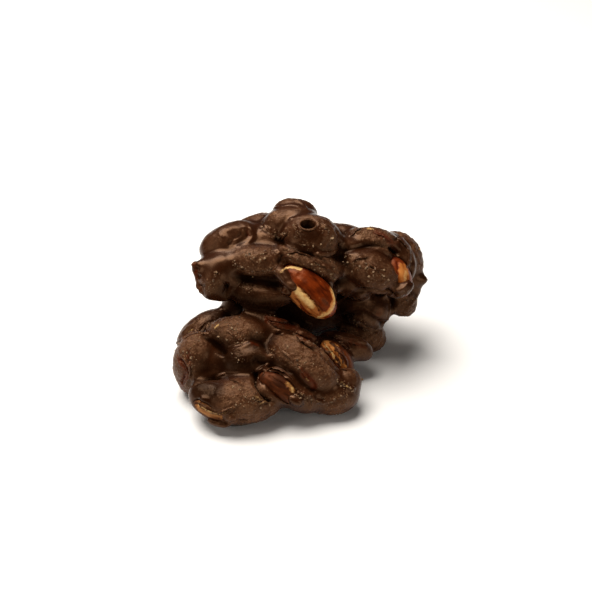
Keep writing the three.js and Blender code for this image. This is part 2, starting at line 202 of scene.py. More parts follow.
# %% [markdown]
# ## Camera
# The photo looks down on the sweet by about 35 degrees, from in front. A long lens far away keeps the
# outline true. The camera comes first, because later steps draw on the skin along its lines of sight.

# %% Set up the camera
LOOK_DOWN = math.radians(35)
CAMERA_DISTANCE = 300 * MM
AIM = place((-1.33, 4.34, 19.2))  # what the middle of the photo shows
PHOTO_PIXELS = 592
FOCAL_PIXELS = 1350  # how many pixels one unit of slope covers in the photo's frame
SENSOR_WIDTH = 36  # millimetres; any width would do, as the lens is worked out from it
NEAREST = 10 * MM
FARTHEST = 5  # metres

looking = Vector((0, math.cos(LOOK_DOWN), -math.sin(LOOK_DOWN)))
upward = Vector((0, math.sin(LOOK_DOWN), math.cos(LOOK_DOWN)))
camera_data = bpy.data.cameras.new("camera")
camera_data.sensor_width = SENSOR_WIDTH
camera_data.lens = SENSOR_WIDTH * FOCAL_PIXELS / PHOTO_PIXELS
camera_data.clip_start = NEAREST
camera_data.clip_end = FARTHEST
camera = bpy.data.objects.new("camera", camera_data)
bpy.context.scene.collection.objects.link(camera)
camera.location = AIM - looking * CAMERA_DISTANCE
camera.rotation_euler = looking.to_track_quat("-Z", "Y").to_euler()
bpy.context.scene.camera = camera
print("lens mm:", round(camera_data.lens, 1))

# %% [markdown]
# ## Light
# The light is what a small food table has: one large soft box above and weaker ones at the sides. The room
# itself is dim, so the hollows stay dark and the pools show one clear highlight.

# %% Set up the light
LAMP_COLOUR = (1.0, 0.96, 0.92)  # lamps a little warmer than daylight
ROOM_COLOUR = (1, 1, 1, 1)
ROOM_STRENGTH = 0.045
LAMPS = [  # name, direction from the cluster, distance and size in metres, and power in watts
    ("top_box", (-0.3, 0.25, 1.0), 0.45, 0.40, 4.0),
    ("left_box", (-1.0, -0.5, 0.6), 0.5, 0.20, 0.3),
    ("right_box", (1.0, -0.9, 0.4), 0.5, 0.25, 0.4),
]


def soft_box(name, toward, distance, size, watts):
    data = bpy.data.lights.new(name, "AREA")
    data.shape = "DISK"
    data.size = size
    data.energy = watts
    data.color = LAMP_COLOUR
    lamp = bpy.data.objects.new(name, data)
    bpy.context.scene.collection.objects.link(lamp)
    lamp.location = AIM + Vector(toward).normalized() * distance
    lamp.rotation_euler = (-Vector(toward)).to_track_quat("-Z", "Y").to_euler()


def dim_room():
    room = bpy.data.worlds.new("studio")
    room.use_nodes = True
    background = room.node_tree.nodes["Background"]
    background.inputs["Color"].default_value = ROOM_COLOUR
    background.inputs["Strength"].default_value = ROOM_STRENGTH
    return room


for lamp_row in LAMPS:
    soft_box(*lamp_row)
bpy.context.scene.world = dim_room()
bpy.context.scene.view_settings.view_transform = "Standard"
print("lamps:", [lamp_row[0] for lamp_row in LAMPS])

# %% [markdown]
# ## Colours and nodes
# Colours are written as sRGB hex, as a picture shows them, and one function makes them linear. One more
# function adds a shader node with its settings, values and links. A value may be another node, whose first
# output is then linked.

# %% Colour and node helpers
def colour(hex_code):
    """The linear colour that the shaders work with, from sRGB hex."""
    parts = [int(hex_code[i:i + 2], 16) / 255 for i in (1, 3, 5)]
    return [c / 12.92 if c <= 0.04045 else ((c + 0.055) / 1.055) ** 2.4 for c in parts] + [1.0]


def node(tree, kind, inputs=None, **settings):
    """A new shader node. Each input gets a plain value, or a link from a socket or a node."""
    made = tree.nodes.new("ShaderNode" + kind)
    for name, value in settings.items():
        setattr(made, name, value)
    for name, value in (inputs or {}).items():
        if isinstance(value, bpy.types.Node):
            value = value.outputs[0]
        if isinstance(value, bpy.types.NodeSocket):
            tree.links.new(value, made.inputs[name])
        else:
            made.inputs[name].default_value = value
    return made


def new_material(name):
    material = bpy.data.materials.new(name)
    material.use_nodes = True
    material.node_tree.nodes.clear()
    return material, material.node_tree


print("middle grey in linear light:", round(colour("#808080")[0], 3))

# %% [markdown]
# ## Floor
# The sweet stands on white paper. It throws a soft light up at the undersides, which would be black
# without it. The floor is part of the stage and doesn't belong to the cluster.

# %% Lay the floor
FLOOR_WIDTH = 4  # metres, so wide that its edge isn't seen from the photo's side


def white_paper():
    """Paper with no gloss: the eye sees only the soft shadow on it."""
    material, tree = new_material("matt_white_paper")
    shader = node(tree, "BsdfPrincipled", {"Base Color": colour("#f2f1ee"), "Roughness": 0.9})
    node(tree, "OutputMaterial", {"Surface": shader})
    return material


bpy.ops.mesh.primitive_plane_add(size=FLOOR_WIDTH, location=(0, 0, 0))
floor = bpy.context.object
floor.name = "floor"
floor.data.materials.append(white_paper())
print("floor width in metres:", FLOOR_WIDTH)

# %% [markdown]
# ## One peanut, copied many times
# A peanut kernel is a ball drawn out along one axis and a little blunter at one end. It is made once: a
# sphere, tapered by a Simple Deform modifier. Every coated lump is a copy of it with its own mesh.

# %% Model the kernel
KERNEL_TAPER = 0.12  # the share by which one end is wider, and the other thinner, than the middle


def kernel_form():
    bpy.ops.mesh.primitive_uv_sphere_add(segments=36, ring_count=24, radius=1, rotation=(0, math.pi / 2, 0))
    form = bpy.context.object
    form.name = "kernel_form"
    bpy.ops.object.transform_apply(rotation=True)
    modify(form, "SIMPLE_DEFORM", deform_method="TAPER", deform_axis="X", factor=KERNEL_TAPER)
    return form


form = kernel_form()
print("kernel form:", triangles(form), "triangles")

# %% [markdown]
# A copy is stretched to its row's size, turned to its row's heading and rise, and moved to its place. The
# mesh itself is moved, so the object stays at the origin, unturned and unscaled.

# %% Lay a lump for every row
def lay(form, row, grow=0.0):
    """A copy of the form as a row gives it, larger by grow millimetres all round."""
    name, middle, heading, rise, length, girth = row[:6]
    lump = bpy.data.objects.new(name, form.data.copy())
    bpy.context.scene.collection.objects.link(lump)
    turn = Matrix.Rotation(math.radians(heading), 4, "Z") @ Matrix.Rotation(-math.radians(rise), 4, "Y")
    half = Vector((length / 2 + grow, girth / 2 + grow, girth / 2 + grow)) * MM
    lump.data.transform(Matrix.Translation(place(middle)) @ turn @ Matrix.Diagonal((*half, 1)))
    return lump


def join(name, pieces):
    deselect_all()
    for piece in pieces:
        piece.select_set(True)
    bpy.context.view_layer.objects.active = pieces[0]
    bpy.ops.object.join()
    pieces[0].name = name
    return pieces[0]


mass = join("chocolate_mass", [lay(form, row) for row in COATED + BEDS])
print("lumps joined:", triangles(mass), "triangles")

# %% [markdown]
# ## Let the chocolate run together
# Melted chocolate fills the corner between two peanuts with a smooth fillet. A voxel remesh joins the
# lumps into one skin. Swelling that skin, joining it again and shrinking it back leaves the crowns where
# they were but closes every corner tighter than the swell, as the liquid did.

# %% Join the lumps and fill the corners
JOIN_VOXEL = 0.45 * MM
SWELL = 0.8 * MM
FIRST_ROUNDS = 4  # of smoothing, which takes off the small steps that a remesh leaves
ROUNDS = 3  # of the same, after a later remesh or a set of wide strokes


def remesh(obj, voxel):
    return modify(obj, "REMESH", mode="VOXEL", voxel_size=voxel, use_smooth_shade=True)


def smooth(obj, rounds, factor=0.5):
    return modify(obj, "SMOOTH", factor=factor, iterations=rounds)


def swell(obj, by):
    return modify(obj, "DISPLACE", strength=by, mid_level=0.0)


remesh(mass, JOIN_VOXEL)
smooth(mass, FIRST_ROUNDS)
swell(mass, SWELL)
remesh(mass, JOIN_VOXEL)
smooth(mass, ROUNDS)
swell(mass, -SWELL)
remesh(mass, JOIN_VOXEL)
smooth(mass, ROUNDS)
print("chocolate joined:", triangles(mass), "triangles")

# %% [markdown]
# ## Pockets for the bare kernels
# Each bare kernel presses into the chocolate, which set round it. So a Boolean modifier takes the shape of
# the kernel out of the mass, a hair larger so that the two skins don't flicker through each other.

# %% Cut the pockets
POCKET_GAP = 0.05  # millimetres


def cut(obj, cutter):
    modify(obj, "BOOLEAN", operation="DIFFERENCE", solver="MANIFOLD", object=cutter)
    bpy.data.objects.remove(cutter)
    return obj


for row in BARE:
    cut(mass, lay(form, row, grow=POCKET_GAP))
print("pockets cut:", triangles(mass), "triangles")

# %% [markdown]
# ## The burst bubble
# Air that came up through the coat left a round, open bubble on the dome, with a thin lip. A ring joined
# into the skin makes the lip, and a flattened ball cut out inside it makes the hollow. The finer remesh
# between the two steps rounds the ring and the edges of the pockets.

# %% Add the ring and cut the hollow
SKIN_VOXEL = 0.33 * MM
BUBBLE_AT = (1.3, 8.9, 35.0)  # in the millimetres of the rows, as its sizes are too
BUBBLE_LEAN = math.radians(5)  # it faces forward by this much
BUBBLE_ACROSS = 3.7
BUBBLE_DEEP = 2.2  # from the rim down
BUBBLE_LIP = 0.4
BUBBLE_WALL = 0.15  # how far the hollow stays inside the middle of the ring


def bubble_ring():
    bpy.ops.mesh.primitive_torus_add(
        major_segments=40, minor_segments=10, major_radius=BUBBLE_ACROSS / 2 * MM,
        minor_radius=BUBBLE_LIP / 2 * MM, location=place(BUBBLE_AT), rotation=(BUBBLE_LEAN, 0, 0))
    bpy.ops.object.transform_apply(location=True, rotation=True)
    return bpy.context.object


def bubble_hollow():
    bpy.ops.mesh.primitive_uv_sphere_add(
        segments=32, ring_count=20, radius=(BUBBLE_ACROSS - 2 * BUBBLE_WALL) / 2 * MM,
        location=place(BUBBLE_AT), rotation=(BUBBLE_LEAN, 0, 0))
    hollow = bpy.context.object
    hollow.scale.z = BUBBLE_DEEP * 2 / BUBBLE_ACROSS
    bpy.ops.object.transform_apply(location=True, rotation=True, scale=True)
    return hollow


deselect_all()
mass = join("chocolate_mass", [mass, bubble_ring()])
remesh(mass, SKIN_VOXEL)
deselect_all()
cut(mass, bubble_hollow())
print("bubble cut:", triangles(mass), "triangles")

# %% [markdown]
# ## From a pixel to the skin
# What the photo shows at a pixel lies on the line of sight through that pixel. A ray sent from the camera
# along that line meets the skin in the same place. Two more helpers read and write the points of a mesh.

# %% Read the skin
def raw_points(obj):
    """The points of a mesh in metres, as a table with one row for each."""
    flat = np.empty(len(obj.data.vertices) * 3)
    obj.data.vertices.foreach_get("co", flat)
    return flat.reshape(-1, 3)


def set_raw_points(obj, points):
    obj.data.vertices.foreach_set("co", points.ravel())
    obj.data.update()


def points_of(obj):
    """The points of a mesh in the millimetres of the rows."""
    return (raw_points(obj) - np.array(MOVED)) / MM


def seen_at(objects, pixel):
    """Where the line of sight through a pixel first meets one of the objects, in the rows' millimetres."""
    across, down = ((value - PHOTO_PIXELS / 2) / FOCAL_PIXELS for value in pixel)
    ray = (looking + Vector((across, 0, 0)) - upward * down).normalized()
    hits = [obj.ray_cast(camera.location, ray) for obj in objects]
    points = [hit[1] for hit in hits if hit[0]]
    if not points:
        points = [objects[0].closest_point_on_mesh(camera.location + ray * CAMERA_DISTANCE)[1]]
    nearest = min(points, key=lambda point: (point - camera.location).length)
    return (nearest - MOVED) / MM


bpy.context.view_layer.update()
middle_pixel = (PHOTO_PIXELS / 2, PHOTO_PIXELS / 2)
print("the photo's middle pixel shows", [round(v, 1) for v in seen_at([mass], middle_pixel)])

# %% [markdown]
# ## Chocolate over the rims of the kernels
# Chocolate also ran over the rims of the bare kernels. Each patch is a small lump laid on the kernel where
# the photo shows it, and joined into the skin after the pockets were cut.

# %% Lay chocolate over the rims
PATCHES = [  # the kernel, the pixel, heading, rise, length and girth
    ("half_front", (284, 276), -35, -30, 5.2, 3.2),
    ("half_front", (287, 281), -30, -30, 4.2, 2.6),
    ("half_front", (292, 286), -10, -30, 3.0, 2.2),
    ("half_front", (288, 291), 30, -10, 3.4, 2.4),
    ("half_front", (285, 292), 60, 0, 3.4, 2.4),
    ("foot_kernel", (207, 418), -15, -10, 5.2, 1.9),
    ("foot_kernel", (219, 422), -10, -5, 5.6, 2.3),
    ("foot_kernel", (232, 416), 0, 0, 4.0, 3.4),
    ("foot_kernel", (213, 402), -10, -15, 6.4, 2.0),
    ("skin_front", (295, 400), -20, -20, 4.0, 2.4),
    ("tan_right", (401, 290), 20, 20, 6.5, 3.2),
]
PATCH_ROUNDS = 1  # of smoothing, as more would thin the patches

kernels = {row[0]: lay(form, row) for row in BARE}
bpy.context.view_layer.update()
patches = [lay(form, ("patch", seen_at([kernels[name]], pixel), heading, rise, length, girth))
           for name, pixel, heading, rise, length, girth in PATCHES]
mass = join("chocolate_mass", [mass] + patches)
remesh(mass, SKIN_VOXEL)
smooth(mass, PATCH_ROUNDS)
print(len(PATCHES), "patches joined:", triangles(mass), "triangles")

# %% [markdown]
# ## A flat spot to stand on
# The sweet set on a tray, so its underside is flat wherever it touched. Every point that hangs below the
# tray is lifted onto it.

# %% Stand the cluster on a flat spot
def flatten_base(obj):
    points = raw_points(obj)
    points[:, 2] = np.maximum(points[:, 2], 0)
    set_raw_points(obj, points)


flatten_base(mass)
print("points on the floor:", int((raw_points(mass)[:, 2] == 0).sum()))

# %% [markdown]
# ## Drawing on the skin
# Creases, lips and torn edges are drawn as a sculptor draws with a brush. A route is a few pixels of the
# photo's frame. A smooth curve goes through them, and each of its points is sent out from the camera until
# it meets the skin, so it always lies on what it marks.

# %% Lay a route on the skin
def curve_point(before, start, end, after, t):
    """The point a share t of the way from start to end, on a smooth curve through all four pixels."""
    return 0.5 * (
        2 * start + t * (end - before) + t ** 2 * (2 * before - 5 * start + 4 * end - after)
        + t ** 3 * (3 * start - before - 3 * end + after))


def drawn(objects, route, step=1.0):
    """The route as a smooth curve on the skin, with a point about every step pixels."""
    pixels = [Vector(pixel) for pixel in route]
    if len(pixels) == 1:
        return np.array([seen_at(objects, pixels[0])])
    lead_in = pixels[0] * 2 - pixels[1]
    lead_out = pixels[-1] * 2 - pixels[-2]
    pixels = [lead_in] + pixels + [lead_out]
    laid = []
    for before, start, end, after in zip(pixels, pixels[1:], pixels[2:], pixels[3:]):
        steps = max(1, math.ceil((end - start).length / step))
        for number in range(steps + 1):
            laid.append(seen_at(objects, curve_point(before, start, end, after, number / steps)))
    return np.array(laid)


bpy.context.view_layer.update()
print("points on a route over the dome:", len(drawn([mass], [(290, 219), (310, 216), (330, 223)])))

# %% [markdown]
# A brush lifts or sinks the skin along a route, most in the middle of its stroke, or paints a share from 0
# to 1 there, which a material can read later.

# %% The two brushes
def normals_of(obj):
    flat = np.empty(len(obj.data.vertices) * 3)
    obj.data.vertex_normals.foreach_get("vector", flat)
    return flat.reshape(-1, 3)


def reach(points, line, width):
    """1 where a point of the skin is on the line, falling to 0 at width millimetres from it."""
    near = np.all((points > line.min(0) - width) & (points < line.max(0) + width), axis=1)
    share = np.zeros(len(points))
    if near.any():
        gaps = np.linalg.norm(points[near][:, None, :] - line[None, :, :], axis=2).min(axis=1)
        share[near] = np.clip(1 - gaps / width, 0, 1)
    return share


def carve(obj, strokes):
    """Lift or sink the skin by strokes of a route, a half width and a height, and tell the most."""
    points = points_of(obj)
    lift = np.zeros(len(points))
    for route, width, height in strokes:
        share = reach(points, drawn([obj], route), width)
        lift += height * share * share * (3 - 2 * share)
    moved = points + normals_of(obj) * lift[:, None]
    set_raw_points(obj, moved * MM + np.array(MOVED))
    return float(np.abs(lift).max())


def paint(obj, strokes):
    """The share of a paint on each point of the skin. A stroke is a route, a half width and a strength."""
    points = points_of(obj)
    share = np.zeros(len(points))
    for route, width, strength in strokes:
        share = np.maximum(share, strength * np.sqrt(reach(points, drawn([obj], route), width)))
    return share


print("points of skin to draw on:", len(points_of(mass)))

# %% [markdown]
# ## Valleys of the upper lobe
# Where two coated nuts meet, the coat dips between them. Wide strokes sink these valleys first, and a few
# rounds of smoothing take the marks of the brush away.

# %% Sink the valleys of the upper lobe
VALLEYS = [  # the route, half the width and the height in millimetres
    # under the band
    ([(238, 278), (250, 279), (264, 281), (276, 285)], 2.4, -0.7),
    # between the cracked plates on the left crown
    ([(235, 233), (241, 236), (240, 241)], 2.0, -0.5),
    # round the dome's foot
    ([(276, 239), (285, 244), (300, 250), (312, 254)], 1.1, -0.7),
    ([(340, 247), (340, 241), (337, 232)], 1.0, -0.8),
    # a dimple behind the left crown
    ([(262, 222)], 0.7, -0.9),
    # between the two nuts at the right
    ([(347, 250), (358, 247), (372, 245), (386, 247)], 1.1, -0.7),
    # the cavity behind them
    ([(396, 253), (392, 249)], 1.2, -1.6),
    # the end of the arc
    ([(395, 240), (400, 236)], 0.8, -0.5),
    # between the block at the left and the low front nut
    ([(228, 286), (226, 294)], 1.0, -0.8),
    # the left end of the plate over the bare kernel
    ([(282, 256), (279, 262)], 0.9, -0.6),
    # under the big nut
    ([(348, 298), (364, 290), (380, 293), (395, 294)], 1.2, -1.0),
    # under the dark round one
    ([(344, 318), (358, 312), (374, 321), (386, 326)], 1.4, -0.9),
    # between it and the lowest at the right
    ([(388, 290), (394, 302), (391, 318)], 1.1, -0.8),
    # between the arc and the far right nut
    ([(411, 246), (413, 258), (411, 272)], 1.0, -0.6),
    # left of the big nut
    ([(344, 246), (343, 258), (350, 270)], 1.4, -0.5),
]
deepest = carve(mass, VALLEYS)
smooth(mass, ROUNDS)
print(len(VALLEYS), "valleys sunk, the deepest in mm:", round(deepest, 2))

# %% [markdown]
# ## Lips and cracks of the upper lobe
# The upper nuts cracked as the chocolate set over them, and where it ran off a crown it left a thin lip.
# Narrow strokes draw both, up for a lip and down for a crack, and aren't smoothed.

# %% Draw the lips and cracks of the upper lobe
LIPS = [
    # the plate over the bare kernel, and the crack above it
    ([(290, 257), (303, 262), (320, 269), (333, 277)], 1.5, 0.55),
    ([(284, 251), (300, 252), (311, 255), (324, 260), (337, 270)], 0.6, -0.45),
    # plates and cracks on the left crown
    ([(251, 229), (253, 236), (249, 242), (238, 247)], 1.0, 0.3),
    ([(228, 233), (234, 238), (240, 235), (243, 228)], 0.45, -0.25),
    ([(234, 238), (229, 245)], 0.45, -0.35),
    ([(219, 233), (222, 237)], 0.4, 0.3),
    # notches in the torn edge
    ([(195, 267), (198, 269)], 0.5, -0.5),
    ([(197, 276), (200, 277)], 0.5, -0.5),
    ([(200, 286), (203, 286)], 0.5, -0.5),
    # a tear in the left crown
    ([(247, 230), (248, 235)], 0.9, -0.6),
    # the dome's left edge and the pool beside it
    ([(279, 238), (285, 232), (286, 228)], 0.45, 0.45),
    ([(264, 230), (270, 233), (276, 236)], 0.5, -0.35),
    # above the dome, its right edge, its lower edge and a crack
    ([(290, 219), (300, 217), (310, 216), (320, 218), (330, 223)], 0.5, 0.3),
    ([(325, 225), (331, 229), (335, 235), (338, 241)], 0.7, 0.5),
    ([(339, 246), (335, 250), (329, 253), (318, 254)], 0.5, 0.5),
    ([(319, 231), (323, 239), (319, 245), (326, 249)], 0.4, 0.35),
    # the peak
    ([(296, 200), (302, 203), (307, 209)], 0.5, 0.3),
    ([(262, 212), (275, 208), (290, 205), (300, 207)], 0.5, 0.35),
    # the plate's upper lip, its left end and a crack
    ([(290, 251), (300, 255), (311, 258), (323, 264), (335, 274)], 0.5, 0.4),
    ([(283, 258), (290, 256), (298, 259)], 0.45, 0.4),
    ([(300, 262), (312, 266), (322, 271)], 0.45, -0.3),
    # the edge of the web under the big nut
    ([(335, 303), (343, 298), (351, 293), (359, 289), (366, 287)], 0.5, 0.5),
    # the upper edges of the two nuts at the right
    ([(360, 257), (368, 253), (376, 250), (384, 250), (392, 255)], 0.45, 0.25),
    ([(350, 236), (356, 228), (366, 226)], 0.5, 0.35),
    # the lip of the arc
    ([(394, 237), (402, 244), (408, 253), (409, 261), (407, 268)], 0.5, 0.5),
    # the lower edge of the big nut
    ([(385, 291), (396, 291), (404, 288), (409, 280), (409, 272)], 0.5, 0.45),
    # the right edge of the dark round nut
    ([(383, 292), (389, 301), (390, 310), (388, 320)], 0.45, 0.4),
    # pits in the big nut
    ([(366, 259), (368, 262)], 0.5, -0.45),
    ([(355, 265), (360, 267)], 0.5, -0.45),
    ([(371, 267), (374, 268)], 0.5, -0.4),
    # a crack right of the block
    ([(218, 283), (224, 282), (228, 286)], 0.4, -0.35),
    # the tail
    ([(417, 296), (412, 304), (407, 311)], 0.7, 0.3),
    # the rim beside the amber kernel
    ([(400, 262), (398, 270), (397, 277)], 0.4, 0.35),
]
most = carve(mass, LIPS)
print(len(LIPS), "lips and cracks drawn, the largest in mm:", round(most, 2))

# %% [markdown]
# ## Valleys of the lower lobe
# The lower lobe has broad smooth creases round the kernel in red-brown skin at its front, and deeper ones
# between the big nut and its neighbours.

# %% Sink the valleys of the lower lobe
LOWER_VALLEYS = [
    # between the left flank and the top nut
    ([(206, 336), (216, 344), (224, 352)], 1.4, -0.7),
    # between the left flank and the foot
    ([(196, 383), (206, 379), (216, 378)], 1.3, -0.7),
    # left of the front kernel and above it
    ([(255, 374), (256, 383), (262, 393), (271, 402)], 1.0, -1.3),
    ([(258, 362), (270, 364), (284, 370)], 2.0, -1.0),
    # between the top nut and the big one
    ([(252, 338), (262, 342), (268, 352)], 1.4, -0.6),
    # the end of the big nut
    ([(316, 390), (324, 386)], 1.4, -0.2),
    # the lower end of the front kernel
    ([(276, 388), (284, 384)], 1.2, -0.4),
    # under the foot
    ([(213, 418), (226, 423), (244, 421)], 0.8, -0.5),
    # along the big nut's front
    ([(292, 372), (303, 384), (313, 390)], 1.4, -0.7),
    # between the leaves of red skin and the big nut
    ([(277, 333), (292, 337), (304, 343), (315, 350)], 0.7, -0.6),
    # between the big nut and the torn kernel
    ([(317, 344), (326, 358), (338, 372)], 0.8, -0.7),
    # between two leaves
    ([(268, 322), (280, 326), (300, 332)], 0.6, -0.4),
]
deepest = carve(mass, LOWER_VALLEYS)
smooth(mass, ROUNDS)
print(len(LOWER_VALLEYS), "valleys sunk, the deepest in mm:", round(deepest, 2))

# %% [markdown]
# ## Lips and leaves of the lower lobe
# Thin leaves of red skin lie on each other along the top of the big nut, and the coat is torn at the far
# left. Narrow strokes raise the edges of both.

# %% Draw the lips and leaves of the lower lobe
LOWER_LIPS = [
    # creases at the back of the left flank
    ([(182, 333), (191, 325), (199, 319)], 0.45, 0.35),
    ([(187, 334), (193, 328)], 0.4, -0.3),
    ([(195, 333), (199, 328), (206, 322), (212, 320)], 0.45, 0.4),
    ([(206, 333), (207, 327), (209, 323)], 0.4, 0.35),
    ([(177, 343), (189, 335), (196, 332), (206, 334)], 0.45, 0.35),
    # the lip of the small nut in the middle
    ([(234, 350), (243, 347), (252, 343)], 1.0, 0.3),
    # the edge of the pool above the front kernel
    ([(256, 372), (262, 369), (268, 364)], 0.5, 0.5),
    # the top of the foot, at its left
    ([(216, 377), (224, 374)], 0.45, 0.4),
    # the red tear at the far left
    ([(180, 360), (186, 367), (187, 374), (182, 383)], 0.7, -0.6),
    ([(183, 357), (189, 366), (190, 376), (186, 385)], 0.5, 0.4),
    # the rim of the front kernel
    ([(262, 378), (266, 388), (274, 397), (284, 403)], 0.8, 0.35),
    # the leaves of red skin
    ([(270, 323), (283, 328), (297, 332), (307, 335), (315, 339)], 0.6, 0.7),
    ([(267, 317), (277, 321), (292, 323), (298, 327)], 0.6, 0.7),
    ([(278, 331), (292, 334), (303, 341), (314, 348)], 0.6, 0.6),
    # the upper edge beside the torn kernel
    ([(335, 336), (352, 340), (366, 343)], 0.55, 0.5),
    ([(340, 342), (345, 343), (350, 348)], 0.45, 0.45),
    # small chips that stand up
    ([(319, 334), (321, 338)], 0.4, 0.4),
    ([(305, 322), (311, 325)], 0.45, 0.4),
    # the lower right edge and the right corner
    ([(297, 393), (310, 397), (320, 402), (334, 400)], 0.6, 0.35),
    ([(340, 381), (348, 387), (354, 389)], 0.7, 0.4),
    # a tear in the left flank
    ([(187, 352), (190, 358), (188, 363)], 0.6, -0.45),
    # the rim of the foot kernel
    ([(198, 404), (206, 409), (217, 414), (227, 411), (232, 408)], 0.5, 0.35),
    # the red notch in the big nut
    ([(304, 373), (310, 378), (314, 384)], 0.8, -0.45),
]
most = carve(mass, LOWER_LIPS)
print(len(LOWER_LIPS), "lips and leaves drawn, the largest in mm:", round(most, 2))

# %% [markdown]
# ## Where the coat is rough and where it is smooth
# Over the crown of a peanut the coat is thin, dull and full of crumbs. Where it ran together it is
# smooth and glossy. For each point of the skin the nearest and the second nearest peanut are found: far
# from the second one is a crown. The roughness comes from the rows, blended where two peanuts meet.

# %% Measure crowns and roughness
CROWN_GAP = (0.2, 2.2)  # millimetres to the second peanut where a crown begins and where it is full
ROUGHNESS_BLEND = 0.7  # millimetres over which the roughness of one peanut runs into the next


def distance_to(points, row):
    """About how far each point is outside a row's ellipsoid, in millimetres."""
    _, middle, heading, rise, length, girth = row[:6]
    turn = Matrix.Rotation(math.radians(heading), 3, "Z") @ Matrix.Rotation(-math.radians(rise), 3, "Y")
    local = (points - np.array(middle)) @ np.array(turn)
    radii = np.array((length / 2, girth / 2, girth / 2))
    level = np.linalg.norm(local / radii, axis=1)
    slope = np.linalg.norm(local / radii ** 2, axis=1)
    return level * (level - 1) / np.maximum(slope, 1e-6)


def ramp(value, start, end):
    """0 up to start, 1 from end on, and a soft rise between the two."""
    t = np.clip((value - start) / (end - start), 0, 1)
    return t * t * (3 - 2 * t)


def crowns_and_roughness(obj):
    points = points_of(obj)
    rows = COATED + BEDS
    distances = np.array([distance_to(points, row) for row in rows])
    nearest, second = np.sort(distances, axis=0)[:2]
    weights = np.exp(-(distances - distances.min(axis=0)) / ROUGHNESS_BLEND)
    rough = (weights * np.array([row[6] for row in rows])[:, None]).sum(axis=0) / weights.sum(axis=0)
    return ramp(second - nearest, *CROWN_GAP), rough


crown, rough = crowns_and_roughness(mass)
print("crown share:", round(float(crown.mean()), 2), "mean roughness:", round(float(rough.mean()), 2))

# %% [markdown]
# ## Painted shade in creases and hollows
# Little light gets into a crease or into the hollow between the lobes, so chocolate there is painted nearly
# black, as painted shade. A crease lies under the smoothed shape of the skin, so that shape is made and
# compared. The hollow between the lobes and some broad dark valleys and pools get painted shade along
# routes, as they are too broad to be found that way.

# %% Measure the creases and paint shade in them and in the hollows
# painted shade: strokes that darken the coat in the hollow between the lobes and in broad dark valleys
PAINTED_SHADE_STROKES = [  # the route, half the width in millimetres, and the share
    # the hollow between the lobes
    ([(236, 298), (256, 306), (280, 313), (300, 321)], 3.5, 0.85),
    ([(226, 292), (240, 301), (254, 304), (270, 306)], 2.6, 0.5),
    ([(312, 298), (330, 306), (344, 314)], 3.5, 0.8),
    # between the left flank and the top nut
    ([(216, 334), (222, 343), (230, 352)], 2.0, 0.6),
    # the pool in the middle of the lower lobe
    ([(228, 356), (240, 361), (252, 363)], 3.5, 0.8),
    # over the foot
    ([(196, 382), (206, 380), (214, 379)], 1.5, 0.6),
    ([(200, 386), (206, 389), (212, 392)], 3.2, 0.8),
    # between the top nut and the big one
    ([(256, 346), (264, 342), (270, 339)], 2.6, 0.75),
    # under the notch in the big nut
    ([(300, 376), (308, 384), (316, 392)], 1.6, 0.4),
]
CAVITY_ROUNDS = 60  # of smoothing, which fills a crease but keeps the nuts
CAVITY_DEPTH = 0.5  # millimetres down where a crease counts in full


def cavities(obj, rounds, depth):
    """1 where the skin lies depth millimetres under its own smoothed shape, as in a crease."""
    smoothed = bpy.data.objects.new("smoothed", obj.data.copy())
    bpy.context.scene.collection.objects.link(smoothed)
    smooth(smoothed, rounds, factor=1.0)
    sunk = ((points_of(smoothed) - points_of(obj)) * normals_of(obj)).sum(axis=1)
    bpy.data.objects.remove(smoothed)
    return ramp(sunk, 0.0, depth)


# the share of painted shade: creases found from the shape, then the painted strokes
hollow_shade = cavities(mass, CAVITY_ROUNDS, CAVITY_DEPTH)
hollow_shade = np.maximum(hollow_shade, paint(mass, PAINTED_SHADE_STROKES))
print("cavity share:", round(float(hollow_shade.mean()), 2))

# %% [markdown]
# ## Skin and nut that show through
# In a few places the coat is torn: red-brown skin shows, or a sliver of pale nut. Both are painted as point
# attributes, which stay with the mesh and which the chocolate's material reads.

# %% Paint the torn places
RED_SKIN = [  # the route, half the width in millimetres, and the share
    # the torn edge at the far left
    ([(195, 263), (195, 275), (198, 288), (203, 297)], 1.0, 0.45),
    # the tear in the left crown
    ([(247, 229), (249, 236)], 0.9, 0.6),
    # the arc
    ([(376, 232), (384, 236), (392, 243)], 1.3, 0.8),
    # the cavity beside the amber kernel
    ([(392, 262), (395, 268)], 1.6, 1.0),
    # the dome's right edge
    ([(334, 228), (337, 238), (334, 246)], 0.9, 0.5),
    # the tear in the left flank
    ([(187, 352), (190, 358), (188, 364)], 1.2, 0.6),
    # the red tear at the far left
    ([(180, 360), (186, 368), (186, 376), (181, 386), (186, 392)], 1.2, 0.9),
    # the dark round nut
    ([(381, 310), (378, 314)], 1.1, 0.7),
    # the leaves of red skin
    ([(268, 319), (282, 325), (300, 331), (312, 337)], 1.5, 0.8),
    # the small nut in the middle
    ([(258, 345), (252, 343)], 1.0, 0.6),
    # the red notch in the big nut
    ([(304, 373), (309, 378), (314, 385)], 1.3, 0.9),
    # the upper edge beside the torn kernel
    ([(338, 338), (352, 342), (364, 347)], 1.3, 0.5),
    # the rim of the foot kernel
    ([(216, 414), (226, 413)], 1.2, 0.5),
    # the lower right edge
    ([(300, 390), (312, 396)], 1.0, 0.4),
    # the rim of the front kernel
    ([(266, 378), (274, 384), (284, 388)], 1.2, 0.5),
]
